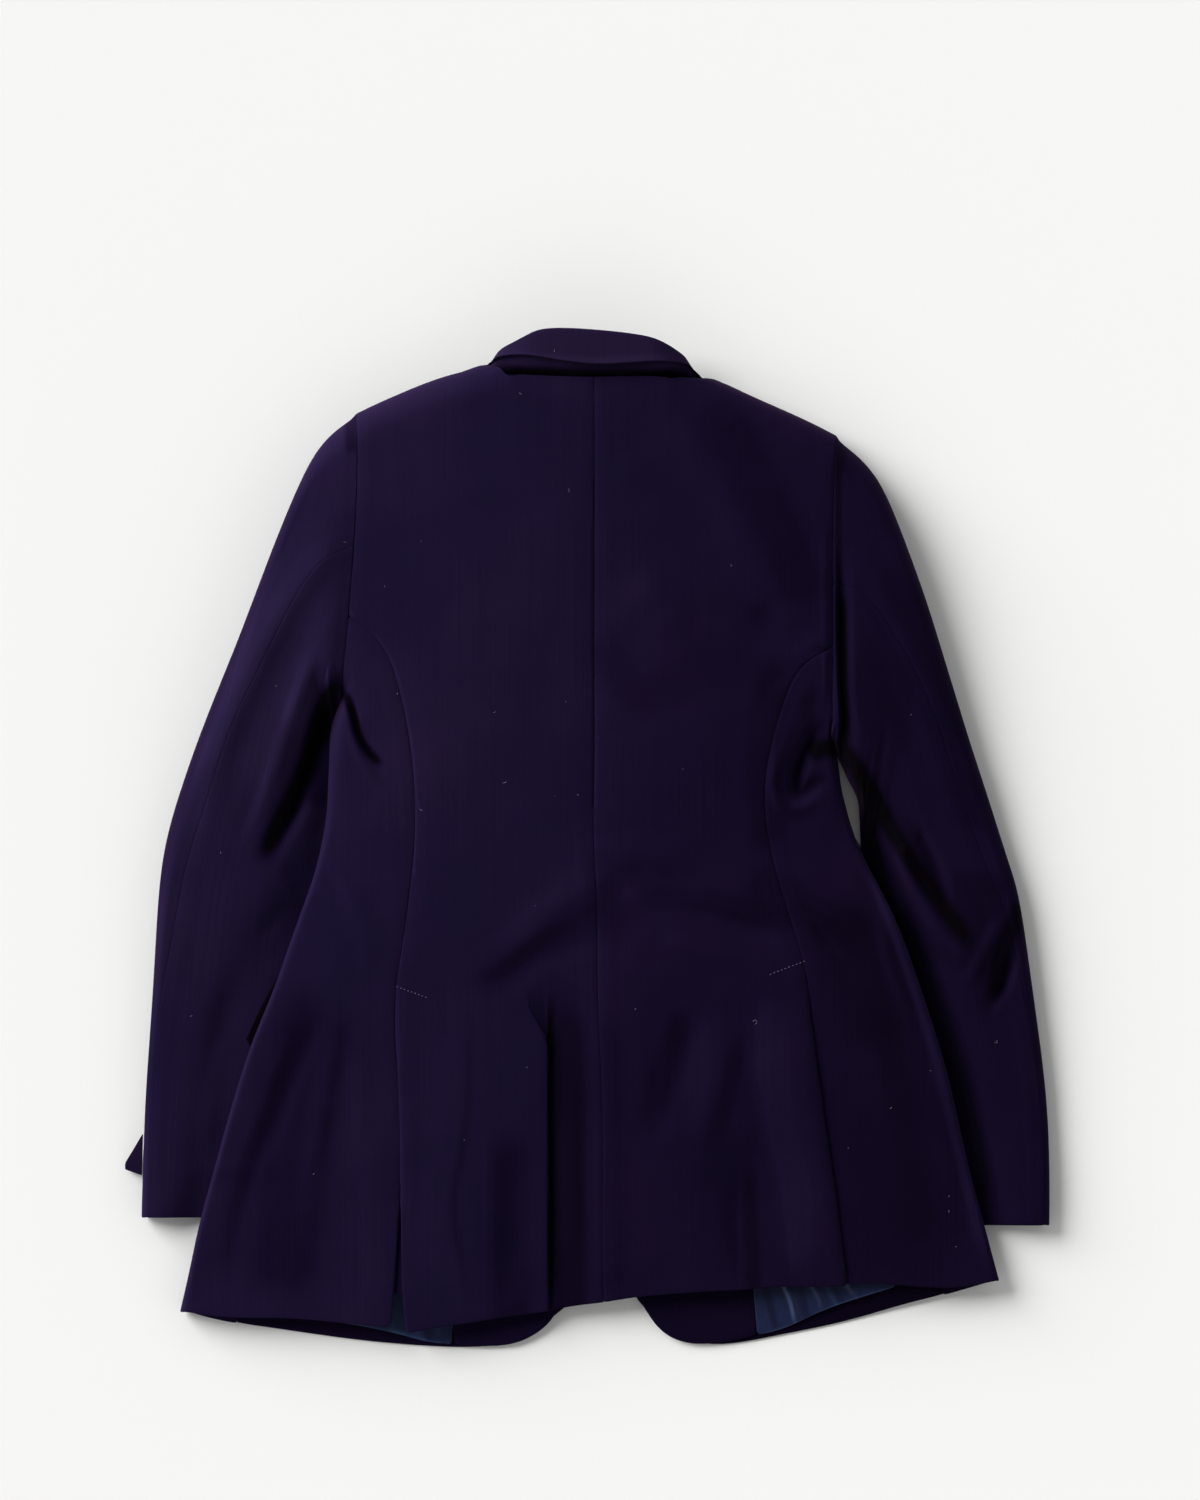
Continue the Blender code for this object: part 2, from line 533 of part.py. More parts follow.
def cloth(name, grid, wall, finish, outer_up=True, guides=(0, 0, 0, 0), inner_grid=None, even=0):
    """A piece of cloth from a grid of points on its outer face; None leaves a place out.

    The guides are how many columns before and after, and rows below and above, are not part of the cloth:
    they only turn its edges the way the neighbouring cloth runs. The inner face lies one wall inside the
    outer one, unless its own grid is given; even says how often the way it faces is evened out.
    """
    before, after, below, above = guides
    shape = bmesh.new()
    corners = [[point and shape.verts.new(Vector(point) * MM) for point in row] for row in grid]
    kept = []
    for row, (lower, upper) in enumerate(zip(corners, corners[1:])):
        for column, (a, b, c, d) in enumerate(zip(lower, lower[1:], upper[1:], upper)):
            if not (a and b and c and d):
                continue
            face = shape.faces.new((a, b, c, d) if outer_up else (d, c, b, a))
            inside = before <= column < len(lower) - 1 - after and below <= row < len(corners) - 1 - above
            if inside:
                kept.append(face)
    shape.normal_update()
    facing = {corner: corner.normal.copy() for corner in shape.verts}
    for _ in range(even):
        facing = {corner: even_normal(corner, facing) for corner in shape.verts}
    inner = {}
    for face in kept:
        for corner in face.verts:
            if corner not in inner:
                inner[corner] = corner.co - facing[corner] * wall * MM
    if inner_grid:
        for row, places in zip(corners, inner_grid):
            for corner, place in zip(row, places):
                inner[corner] = Vector(place) * MM
    guide_faces = [face for face in shape.faces if face not in set(kept)]
    bmesh.ops.delete(shape, geom=guide_faces, context="FACES_ONLY")
    outer_faces = list(shape.faces)
    rim = [edge for edge in shape.edges if len(edge.link_faces) == 1]
    loops = [(edge.link_loops[0].vert, edge.link_loops[0].link_loop_next.vert) for edge in rim]
    inner = {corner: shape.verts.new(place) for corner, place in inner.items()}
    for face in outer_faces:
        shape.faces.new([inner[corner] for corner in reversed(face.verts)])
    for start, end in loops:
        shape.faces.new((end, start, inner[start], inner[end]))
    for corner in [vert for vert in shape.verts if not vert.link_faces]:
        shape.verts.remove(corner)
    for edge in [edge for edge in shape.edges if not edge.link_faces]:
        shape.edges.remove(edge)
    made = piece(name, shape, finish)
    made.data.set_sharp_from_angle(angle=1.0)
    return made


def rows_of(hem, top, round_top):
    """Heights of one column's rows: hem, shared levels and the rows that round up to its top."""
    last = LEVELS[-1]
    turn = top - round_top
    rows = [hem, (hem + LEVELS[0]) / 2, *LEVELS, (last + turn) / 2, turn]
    rows += [turn + round_top * sin(step / 4 * pi / 2) for step in (1, 2, 3, 4)]
    return rows


def mirrored(line):
    """Guide point after a column's end, where the cloth turns on to the other side of the garment."""
    x, y, z = line[-2]
    return x, y, 2 * line[-1][2] - z


def pleat_path(y):
    """The pleat's section at a row, as seven places x, z counted from its upper fold."""
    turn = pi * smooth_step((PLEAT_TOP - y) / (PLEAT_TOP - PLEAT_FULL))
    straight = PLEAT_SPREAD + (PLEAT_LAP - PLEAT_SPREAD) * smooth_step(turn / pi)
    if sin(turn) > 0.01:
        straight = min(straight, PLEAT_DROP / sin(turn))
    steps = [(PLEAT_OUTER, -1)] * 3 + [(None, 0)] + [(PLEAT_INNER, 1)] * 2
    points = [(0.0, 0.0)]
    heading = 0.0
    for radius, way in steps:
        bends = sum(1 for other in steps if other == (radius, way))
        bend = way * turn / bends
        length = straight
        if way:
            length = max(2 * radius * sin(turn / bends / 2), 0.9 * (1 - turn / pi))
        x, z = points[-1]
        points.append((x + length * cos(heading + bend / 2), z + length * sin(heading + bend / 2)))
        heading += bend
    rightmost = max(x for x, _ in points)
    return [(x - rightmost, z) for x, z in points]


def back_panel(side, finish):
    """A back panel from the curved back seam to the centre seam; the left one holds the pleat."""
    inwards = -side.outward
    pleated = side is LEFT
    flat = 7 if pleated else 10
    folded = 6 if pleated else 0
    after = 3 if pleated else 0
    last = flat + folded + after

    def outer(y):
        if y >= side.tip:
            return side.armhole(y) + inwards * ARMHOLE_SEAM
        sewn = smooth_step((y - side.vent + VENT_SHUT + 14) / 20)
        return side.princess(y) + inwards * beside(side.princess, y) * sewn

    def inner(y):
        return centre_seam(y) - inwards * SEAM / 2

    def place(y, column):
        if column < 0:
            x = outer(y) - inwards * GUIDE
            return x, x, 0.0
        if column > last:
            x = inner(y) + inwards * GUIDE
            return x, x, 0.0
        if not pleated:
            x = outer(y) + (inner(y) - outer(y)) * column / flat
            return x, x, 0.0
        steps = pleat_path(y)
        fold = pleat_fold(min(y, 0)) + 6 * smooth_step(y / 300)
        start = fold + steps[0][0]
        end = fold + steps[-1][0]
        if column <= flat:
            x = outer(y) + (start - outer(y)) * column / flat
            return x, x, 0.0
        if column <= flat + folded:
            step_x, step_z = steps[column - flat]
            return fold + step_x, start, step_z
        share = (column - flat - folded) / after
        x = end + (inner(y) - end) * share
        return x, x, steps[-1][1] * (1 - smooth_step(share))

    columns = []
    for column in range(-1, last + 2):
        hem_x = place(HEM_LEVEL, column)[0]
        top = TOP_LEVEL
        for _ in range(4):
            top_x = place(top, column)[0]
            top = back_top(top_x)
        neck = abs(top_x) < abs(side.shoulder[-1][0])
        line = []
        for y in rows_of(back_hem(hem_x), top, 12 if neck else SHOULDER_ROUND * body_height(top)):
            x, level_x, drop = place(y, column)
            line.append((x, y, body_top(side, level_x, y) + vent_lift(side, level_x, y) + drop))
        x, y, z = line[-1]
        if neck:
            line.append((x, y + GUIDE, z))
        else:
            line[-1] = (x, y, z + SEAM / 2)
            line.append(mirrored(line))
        columns.append(line)
    grid = [list(row) for row in zip(*columns)]
    return cloth("back_" + side.word, grid, BODY_WALL, finish, outer_up=pleated, guides=(1, 1, 0, 1))


def side_panel(side, finish):
    """A side body: on top from the curved back seam to the side edge, round it and on to the front."""
    out = side.outward
    flat = 6
    bends = 3
    under = 3
    edge_column = flat + bends
    last = edge_column + bends + under
    levels = [y for y in LEVELS if y <= side.tip]
    low_edge = side.edge(-360)

    def back_edge(y):
        if side is LEFT and y < LEFT_VENT_EDGE[-1][0]:
            return left_vent_edge(y)
        under_back = VENT_LAP * smooth_step((side.vent - VENT_SHUT - y) / VENT_OPENING)
        return side.princess(y) + out * (beside(side.princess, y) - under_back)

    def distance(y, column, width, arc):
        if column < 0:
            return width + GUIDE
        if column <= flat:
            return width + (arc - width) * column / flat
        if column <= edge_column:
            return arc * quarter(edge_column - column, bends)
        if column <= edge_column + bends:
            return arc * quarter(column - edge_column, bends)
        if column > last:
            return UNDER_SEAM + GUIDE
        return arc + (UNDER_SEAM - SEAM / 2 - arc) * (column - edge_column - bends) / under

    grid = []
    for row in range(-2, len(levels)):
        line = []
        for column in range(-1, last + 2):
            if row >= 0:
                y = levels[row]
            elif column <= flat:
                y = side.side_hem(back_edge(-360) + (low_edge - back_edge(-360)) * max(column, 0) / flat)
            else:
                depth = max(column - edge_column - bends, 0) / under * UNDER_SEAM
                y = side.front_hem(low_edge - out * depth)
            if row == -1:
                y = (y + levels[0]) / 2
            over = column <= edge_column
            at_underarm = y == side.underarm[1]
            if y > side.underarm[1] and not over:
                line.append(None)
                continue
            if at_underarm and not over:
                y -= SEAM / 2
            edge = side.edge(y) if y < side.underarm[1] else side.armhole(y) - out * ARMHOLE_SEAM
            width = abs(edge - back_edge(y))
            arc = min(SIDE_ROUND * (body_height(y) - side_floor(side, edge, y)), width / 2)
            inward = distance(y, column, width, arc)
            x = edge - out * inward
            if y == side.tip:
                y -= TIP_GAP
            if over:
                z = body_top(side, x, y, inward if y < side.underarm[1] else None)
            else:
                z = body_under(side, x, y, side_floor(side, x, y))
            line.append((x, y, z))
        grid.append(line)
    return cloth("side_" + side.word, grid, BODY_WALL, finish, outer_up=side is RIGHT, guides=(1, 1, 0, 0))


def front_panel(side, finish):
    """A front, underneath: from the side body's seam and the armhole to the front edge and the roll line."""
    out = side.outward
    near_hole = 3
    across = 7
    seam_row = LEVELS.index(side.underarm[1]) + 2

    def seam(y):
        return side.edge(min(y, side.underarm[1])) - out * (UNDER_SEAM + SEAM / 2)

    def place(y, column):
        share = (column - near_hole) / across
        if share >= 0:
            x = seam(y) + (side.front_edge(y) - seam(y)) * min(share, 1)
            return x - out * GUIDE if share > 1 else x
        hole = side.armhole(y) - out * (HIDDEN_SEAM - ARMHOLE_SEAM)
        x = hole + (seam(y) - hole) * max(column, 0) / near_hole
        return x + out * GUIDE if column < 0 else x

    columns = []
    for column in range(-1, near_hole + across + 2):
        hem_x = place(HEM_LEVEL, max(column, near_hole))
        top = TOP_LEVEL
        for _ in range(4):
            top = back_top(place(top, column))
        line = []
        for row, y in enumerate(rows_of(side.front_hem(hem_x), top, 18)):
            if column < near_hole and row < seam_row:
                line.append(None)
                continue
            if row == seam_row and column <= near_hole:
                y += SEAM / 2
            x = place(y, column)
            line.append((x, y, body_under(side, x, y, front_floor(side, x, y))))
        x, y, z = line[-1]
        line[-1] = (x, y, z - SEAM / 2)
        line.append(mirrored(line))
        columns.append(line)
    grid = [list(row) for row in zip(*columns)]
    return cloth("front_" + side.word, grid, BODY_WALL, finish, outer_up=side is RIGHT, guides=(1, 1, 0, 1))


def past_body(side, x, y):
    """Distance of a place of the sleeve beyond the body that lies on it, and beyond its pocket flap."""
    low, high = side.flap_reach
    flap = near(low - y, 0, FLAP_FADE) * near(y, high, FLAP_FADE)
    return side.outward * (x - side.edge(min(y, side.underarm[1]))) - 1 - FLAP_ROOM * flap


def tucked_height(side, x, y, full):
    """Height of a sleeve: low where the body lies on it, full away from it."""
    start, end = side.free_sleeve
    away = smooth_step(past_body(side, x, y) / SLEEVE_RISE)
    away += (1 - away) * smooth_step((y - start) / (end - start))
    return TUCKED + (full - TUCKED) * away


class Station:
    """A section of a sleeve at t, from 0 at the armhole to 1 at the cuff."""

    def __init__(self, side, t):
        self.side = side
        self.t = t
        self.ix, self.iy, self.ox, self.oy, self.height, self.seam = spline(side.sleeve, t)
        self.length = hypot(self.ox - self.ix, self.oy - self.iy)
        outer = SHOULDER_ROUND + (CUFF_ROUND - SHOULDER_ROUND) * smooth_step(t / 0.3)
        self.outer_round = outer * self.full(self.oy)
        slant = min(self.length / abs(self.ox - self.ix), 3) if t > 0.05 else 1
        slant = 1 + (slant - 1) * smooth_step(t / ARMHOLE_RUN)
        self.inner_round = SIDE_ROUND * tucked_height(side, self.ix, self.iy, self.full(self.iy)) * slant

    def full(self, y):
        """Height of the free sleeve: the body's own at the armhole."""
        body = body_height(y)
        return body + (self.height - body) * smooth_step(self.t / 0.14)

    def place(self, far):
        """The place at a distance from the outer edge; at the armhole the section follows its curve."""
        x = self.ox + (self.ix - self.ox) * far / self.length
        y = self.oy + (self.iy - self.oy) * far / self.length
        hole = self.side.armhole(y) + self.side.outward * SLEEVE_SEAM
        return x + (hole - x) * (1 - smooth_step(self.t / ARMHOLE_RUN)), y

    def point(self, far, over):
        """A point of the outer face, over or under the sleeve."""
        x, y = self.place(far)
        here = tucked_height(self.side, x, y, self.full(y))
        share = min(far / self.outer_round, (self.length - far) / self.inner_round)
        edge = EDGE_SHARE * here
        if not over:
            return x, y, edge * (1 - rounded(share))
        crease = folds(x, y) * smooth_step(share) * smooth_step((here - TUCKED) / 6)
        return x, y, edge + (here + crease - edge) * rounded(share)

    def body_line(self):
        """Distance from the outer edge at which the body starts to lie on the sleeve."""
        low, high = 0.0, self.length
        for _ in range(24):
            middle = (low + high) / 2
            if past_body(self.side, *self.place(middle)) > 0:
                low = middle
            else:
                high = middle
        return high


def sleeve(side, finish):
    """Top sleeve and under sleeve: they meet at the back seam above and at the front seam below."""
    stations = 22
    top_grid = []
    under_grid = []
    for row in range(stations + 1):
        station = Station(side, row / stations)
        back_seam = station.length * (1 - station.seam)
        front_seam = station.length * FRONT_SEAM
        turn = min(station.outer_round, back_seam * 0.6)
        top = [(back_seam + GUIDE, True)]
        top += [(back_seam - SEAM / 2 + (turn - back_seam) * step / 3, True) for step in range(3)]
        top += [(turn * quarter(step, 4), True) for step in (4, 3, 2, 1, 0)]
        top += [(station.outer_round * quarter(step, 3), False) for step in (1, 2, 3)]
        rest = front_seam - SEAM / 2 - station.outer_round
        top += [(station.outer_round + rest * step / 4, False) for step in (1, 2, 3, 4)]
        top += [(front_seam + GUIDE, False)]
        inner = station.length - station.inner_round
        body_line = station.body_line()
        hidden = smooth_step((body_line - back_seam) / 10) * smooth_step((inner - 4 - body_line) / 10)
        free_share = back_seam + (inner - back_seam) * 0.75
        covered = free_share + (body_line - free_share) * hidden
        under = [(back_seam - GUIDE, True)]
        under += [(back_seam + SEAM / 2 + (covered - back_seam) * step / 4, True) for step in range(4)]
        under += [(covered, True), ((covered + inner) / 2, True)]
        under += [(station.length - station.inner_round * quarter(step, 3), True) for step in (3, 2, 1, 0)]
        under += [(station.length - station.inner_round * quarter(step, 3), False) for step in (1, 2, 3)]
        under += [(front_seam + SEAM / 2, False), (front_seam - GUIDE, False)]
        if not top_grid:
            top_grid.append([body_guide(side, *station.point(*place)[:2], place[1]) for place in top])
            under_grid.append([body_guide(side, *station.point(*place)[:2], place[1]) for place in under])
        top_grid.append([station.point(*place) for place in top])
        under_grid.append([station.point(*place) for place in under])
    up = side is LEFT
    cloth("top_sleeve_" + side.word, top_grid, SLEEVE_WALL, finish, outer_up=up, guides=(1, 1, 1, 0))
    name = "under_sleeve_" + side.word
    cloth(name, under_grid, SLEEVE_WALL, finish, outer_up=not up, guides=(1, 1, 1, 0), even=2)


def body_guide(side, x, y, over):
    """A point of the body just inside the armhole, next to a point of the sleeve."""
    x -= side.outward * GUIDE
    if over:
        return x, y, body_top(side, x, y)
    return x, y, body_under(side, x, y, 0)


def plate(name, outline, wall, finish):
    """A flat piece of cloth on the surface, from its outline."""
    shape = bmesh.new()
    corners = [shape.verts.new((x * MM, y * MM, 0)) for x, y in outline]
    face = shape.faces.new(corners)
    raised = bmesh.ops.extrude_face_region(shape, geom=[face])["geom"]
    corners = [part for part in raised if isinstance(part, bmesh.types.BMVert)]
    bmesh.ops.translate(shape, verts=corners, vec=(0, 0, wall * MM))
    bmesh.ops.recalc_face_normals(shape, faces=shape.faces)
    made = piece(name, shape, finish)
    made.data.set_sharp_from_angle(angle=0.6)
    return made


def strip(name, edges, height, wall, finish, across=8, along=3):
    """A strip of cloth between two edges; height gives its lower face at each place."""
    grid = []
    for row in range(along + 1):
        line = []
        for column in range(across + 1):
            sx, sy = spline(edges[0], column / across)
            ex, ey = spline(edges[1], column / across)
            x = sx + (ex - sx) * row / along
            y = sy + (ey - sy) * row / along
            line.append((x, y, height(x, y) + wall))
        grid.append(line)
    left_to_right = grid[0][0][0] < grid[0][-1][0]
    return cloth(name, grid, wall, finish, outer_up=left_to_right)


def hem_strip(name, front, edges, finish):
    """Facing or lining lying on the inner face of a front."""
    mesh = front.data
    tree = BVHTree.FromPolygons([vert.co for vert in mesh.vertices], [face.vertices for face in mesh.polygons])

    def height(x, y):
        heights = [BODY_WALL]
        for dx in (-9, 0, 9):
            for dy in (-9, 0, 9):
                place = tree.ray_cast(Vector((x + dx, y + dy, 100)) * MM, Vector((0, 0, -1)))[0]
                heights.append(place.z / MM if place else BODY_WALL)
        return max(heights) + LAYER

    return strip(name, edges, height, THIN_WALL, finish)


def underlap(side, finish):
    """The strip under a side vent, below the side body's edge and the back panel's."""
    low = UNDERLAP_LOW[side.word]
    high = side.vent - UNDERLAP_TOP
    rows = 10
    grid = []
    for row in range(rows + 1):
        y = low + (high - low) * row / rows
        line = sorted(side.princess(y) + side.outward * shift for shift in UNDERLAP_COLUMNS)
        grid.append([(x, y, body_top(side, x, y) - BODY_WALL - UNDERLAP_GAP) for x in line])
    return cloth("vent_underlap_" + side.word, grid, THIN_WALL, finish)


def pocket_flap(side, finish):
    """A pocket flap under the body, with the corner that shows beside it."""
    a, b, c, d = side.flap
    along = 7
    across = 3
    grid = []
    for row in range(across + 1):
        line = []
        for column in range(along + 1):
            s = column / along
            t = row / across
            x = (a[0] + (b[0] - a[0]) * s) * (1 - t) + (d[0] + (c[0] - d[0]) * s) * t
            y = (a[1] + (b[1] - a[1]) * s) * (1 - t) + (d[1] + (c[1] - d[1]) * s) * t
            line.append((x, y, max(flap_floor(side, x, y) - FLAP_CLEARANCE, 0.0) + THIN_WALL))
        grid.append(line)
    return cloth("pocket_flap_" + side.word, grid, THIN_WALL, finish, outer_up=side is RIGHT)


def cuff_corner(finish):
    """The corner of the left cuff's vent that stands out."""
    grid = []
    for row in range(4):
        share = row / 3
        line = []
        for column in range(5):
            base = Vector(spline(CUFF_CORNER_BASE, column / 4))
            tip = Vector(spline(CUFF_CORNER_TIP, column / 4))
            line.append(tuple(base.lerp(tip, share)))
        grid.append(line)
    return cloth("cuff_corner_left", grid, SLEEVE_WALL, finish)


def collar(finish):
    """The collar: a stand from the neck seam to the crest and a fall from the crest to the outer edge."""
    stations = [[value for place in row for value in place] for row in COLLAR]
    rows = 28
    outer_grid = []
    inner_grid = []
    for row in range(rows + 1):
        values = spline(stations, row / rows)
        seam, crest, edge = (Vector(values[i:i + 3]) for i in (0, 3, 6))
        up = (crest - (seam + edge) / 2).normalized()
        away = edge - seam
        away = (away - up * away.dot(up)).normalized()
        centre = crest - up * COLLAR_FOLD
        for grid, wall in ((outer_grid, 0.0), (inner_grid, COLLAR_WALL)):
            radius = COLLAR_FOLD - wall
            low = seam + away * wall
            high = edge - away * wall
            stand = centre - away * radius
            fall = centre + away * radius
            line = [low, low.lerp(stand, 0.35), low.lerp(stand, 0.7)]
            for step in range(6):
                angle = step / 5 * pi
                line.append(centre - away * radius * cos(angle) + up * radius * sin(angle))
            line += [fall.lerp(high, 0.35), fall.lerp(high, 0.7), high]
            grid.append([tuple(point) for point in line])
    return cloth("collar", outer_grid, COLLAR_WALL, finish, inner_grid=inner_grid)


def button(finish):
    """The front button: a flat disc with a sunk middle, under the fronts."""
    x, y, radius, thick = BUTTON
    shape = bmesh.new()
    bmesh.ops.create_cone(
        shape, cap_ends=True, segments=28, radius1=radius * MM, radius2=radius * MM, depth=thick * MM,
    )
    cap = [face for face in shape.faces if face.normal.z < -0.9]
    rim, sunk = BUTTON_RIM
    bmesh.ops.inset_region(shape, faces=cap, thickness=rim * MM, depth=-sunk * MM)
    bmesh.ops.translate(shape, verts=shape.verts, vec=(x * MM, y * MM, thick / 2 * MM))
    made = piece("front_button", shape, finish)
    made.data.set_sharp_from_angle(angle=0.6)
    return made


def centre():
    """Move every piece so that the origin lies at the middle of the garment's base."""
    meshes = [thing.data for thing in bpy.data.objects]
    places = [vert.co for mesh in meshes for vert in mesh.vertices]
    low = [min(place[axis] for place in places) for axis in range(3)]
    high = [max(place[axis] for place in places) for axis in range(3)]
    shift = Vector((-(low[0] + high[0]) / 2, -(low[1] + high[1]) / 2, -low[2]))
    for mesh in meshes:
        mesh.transform(Matrix.Translation(shift))
    print("moved by", tuple(round(value / MM, 3) for value in shift), "mm")


def main():
    for thing in list(bpy.data.objects):
        bpy.data.objects.remove(thing)
    wool = material("wool", CLOTH_COLOUR, 0.85)
    lining = material("lining", LINING_COLOUR, 0.4)
    horn = material("button", BUTTON_COLOUR, 0.3)
    hems = {"left": (LEFT_FACING, LEFT_LINING), "right": (RIGHT_FACING, RIGHT_LINING)}
    for side in (LEFT, RIGHT):
        facing_edges, lining_edges = hems[side.word]
        back_panel(side, wool)
        side_panel(side, wool)
        front = front_panel(side, wool)
        hem_strip("facing_" + side.word, front, facing_edges, wool)
        hem_strip("lining_" + side.word, front, lining_edges, lining)
        sleeve(side, wool)
        underlap(side, wool)
        pocket_flap(side, wool)
        plate("lapel_" + side.word, side.lapel, LAPEL_WALL, wool)
    cuff_corner(wool)
    collar(wool)
    button(horn)
    centre()


main()
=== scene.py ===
"""Looks of a slim wool blazer that lies flat on its front, with its back upwards.

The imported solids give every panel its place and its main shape. This script turns each one into a fine, soft
shell, presses its seams, lays its creases and gives it wool, satin or polished plastic.
Tables hold millimetres as read from the photograph: +X to the right, +Y from the hem to the collar, +Z up.
"""

# %% [markdown]
# The imported solids are the frame that everything else is built on. They load once, and stay where they are.

# %% Load the solids
from math import cos, hypot, pi, sin

import bmesh
import bpy
import numpy as np
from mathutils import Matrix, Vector, noise
from mathutils.bvhtree import BVHTree
from mathutils.kdtree import KDTree


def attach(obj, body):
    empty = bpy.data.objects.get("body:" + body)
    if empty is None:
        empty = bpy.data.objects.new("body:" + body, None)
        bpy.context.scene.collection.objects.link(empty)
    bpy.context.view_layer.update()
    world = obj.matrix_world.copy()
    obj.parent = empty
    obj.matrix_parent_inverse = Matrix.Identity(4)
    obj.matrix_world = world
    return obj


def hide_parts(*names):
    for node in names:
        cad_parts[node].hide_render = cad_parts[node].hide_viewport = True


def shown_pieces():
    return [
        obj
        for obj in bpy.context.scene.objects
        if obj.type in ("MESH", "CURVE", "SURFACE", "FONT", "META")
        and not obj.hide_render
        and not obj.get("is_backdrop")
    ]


MM = 0.001
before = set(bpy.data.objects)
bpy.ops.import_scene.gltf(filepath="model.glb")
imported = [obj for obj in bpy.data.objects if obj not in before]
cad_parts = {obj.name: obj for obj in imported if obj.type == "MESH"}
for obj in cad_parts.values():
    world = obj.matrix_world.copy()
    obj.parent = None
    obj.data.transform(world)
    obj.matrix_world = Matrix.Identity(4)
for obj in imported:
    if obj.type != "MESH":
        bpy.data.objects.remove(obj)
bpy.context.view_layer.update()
scene = bpy.context.scene
print("solids:", len(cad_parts))

# %% [markdown]
# The blazer was photographed from straight above on white paper. The camera hangs over the middle of that
# frame and looks down, so its rotation stays zero and the hem is at the lower end of the picture. A very
# long lens from far away keeps the raised collar from drifting outwards over the neck.

# %% Hang the camera
FRAME_CENTRE = (9.9, 68.8)
FRAME_HEIGHT = 1170.0
LENS = 350.0
SENSOR = 36.0
# The frame's height is measured at this level, about the middle of the cloth.
CLOTH_LEVEL = 15.0
CAMERA_HEIGHT = FRAME_HEIGHT * LENS / SENSOR + CLOTH_LEVEL
camera_data = bpy.data.cameras.new("camera")
camera_data.lens = LENS
camera_data.sensor_width = SENSOR
camera = bpy.data.objects.new("camera", camera_data)
camera.location = (FRAME_CENTRE[0] * MM, FRAME_CENTRE[1] * MM, CAMERA_HEIGHT * MM)
scene.collection.objects.link(camera)
scene.camera = camera
print("camera is", CAMERA_HEIGHT * MM, "m above the paper")

# %% [markdown]
# Dark cloth shows its folds only where light grazes them. A wide, low light stands at the upper left, like
# a large window. White walls stand all around and the ceiling is dim, so narrow gaps between the sleeves
# and the body see little light and stay dark. The paper is a plain matt white.

# %% Light the paper
scene.view_settings.view_transform = "Standard"
PAPER_WHITE = (0.9, 0.9, 0.888, 1)
PAPER_HALF = 6.0
HORIZON_LIGHT = 1.25
ZENITH_LIGHT = 0.12
WINDOW_SIDE = (-0.82, 0.56, 0.35)
WINDOW_SPREAD = 0.75
WINDOW_STRENGTH = 5.7

world = bpy.data.worlds.new("room")
world.use_nodes = True
way = world.node_tree.nodes.new("ShaderNodeTexCoord")
parts = world.node_tree.nodes.new("ShaderNodeSeparateXYZ")
walls = world.node_tree.nodes.new("ShaderNodeValToRGB")
walls.color_ramp.elements[0].position = 0.42
walls.color_ramp.elements[0].color = (HORIZON_LIGHT, HORIZON_LIGHT, HORIZON_LIGHT, 1)
walls.color_ramp.elements[1].position = 0.62
walls.color_ramp.elements[1].color = (ZENITH_LIGHT, ZENITH_LIGHT, ZENITH_LIGHT, 1)
world.node_tree.links.new(way.outputs["Generated"], parts.inputs["Vector"])
world.node_tree.links.new(parts.outputs["Z"], walls.inputs["Fac"])
world.node_tree.links.new(walls.outputs["Color"], world.node_tree.nodes["Background"].inputs["Color"])
scene.world = world

window_data = bpy.data.lights.new("window", "SUN")
window_data.angle = WINDOW_SPREAD
window_data.energy = WINDOW_STRENGTH
window = bpy.data.objects.new("window", window_data)
window.location = WINDOW_SIDE
window.rotation_mode = "QUATERNION"
window.rotation_quaternion = (-Vector(WINDOW_SIDE)).to_track_quat("-Z", "Y")
scene.collection.objects.link(window)

paper_material = bpy.data.materials.new("paper")
paper_material.use_nodes = True
paper_shader = paper_material.node_tree.nodes["Principled BSDF"]
paper_shader.inputs["Base Color"].default_value = PAPER_WHITE
paper_shader.inputs["Roughness"].default_value = 0.9
paper_shader.inputs["Specular IOR Level"].default_value = 0.1

bm = bmesh.new()
bmesh.ops.create_grid(bm, x_segments=1, y_segments=1, size=PAPER_HALF)
paper_mesh = bpy.data.meshes.new("paper")
bm.to_mesh(paper_mesh)
bm.free()
paper_mesh.materials.append(paper_material)
paper = bpy.data.objects.new("paper", paper_mesh)
scene.collection.objects.link(paper)
paper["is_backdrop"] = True
print("paper and light are set")

# %% [markdown]
# Wool suiting is very dark here, but it is never one flat colour. Long fine ribs run along the grain,
# fibres catch the light, and wide cloudy patches are a little bluer or redder than the rest. The grain
# comes from each piece's UV map, which runs along the sleeves too. Sheen gives the pale bloom that wool
# shows where it turns away.

# %% Weave the wool
def add_node(tree, kind, **inputs):
    """Adds a node to a material and sets its input values by name."""
    node = tree.nodes.new(kind)
    for name, value in inputs.items():
        node.inputs[name.replace("_", " ")].default_value = value
    return node


def with_painted_shading(tree, colour):
    """A colour times the cloth's colour attribute of painted light and shade."""
    painted_shading = add_node(tree, "ShaderNodeAttribute")
    painted_shading.attribute_name = "painted_shading"
    product = add_node(tree, "ShaderNodeVectorMath")
    product.operation = "MULTIPLY"
    tree.links.new(colour, product.inputs[0])
    tree.links.new(painted_shading.outputs["Color"], product.inputs[1])
    return product.outputs["Vector"]


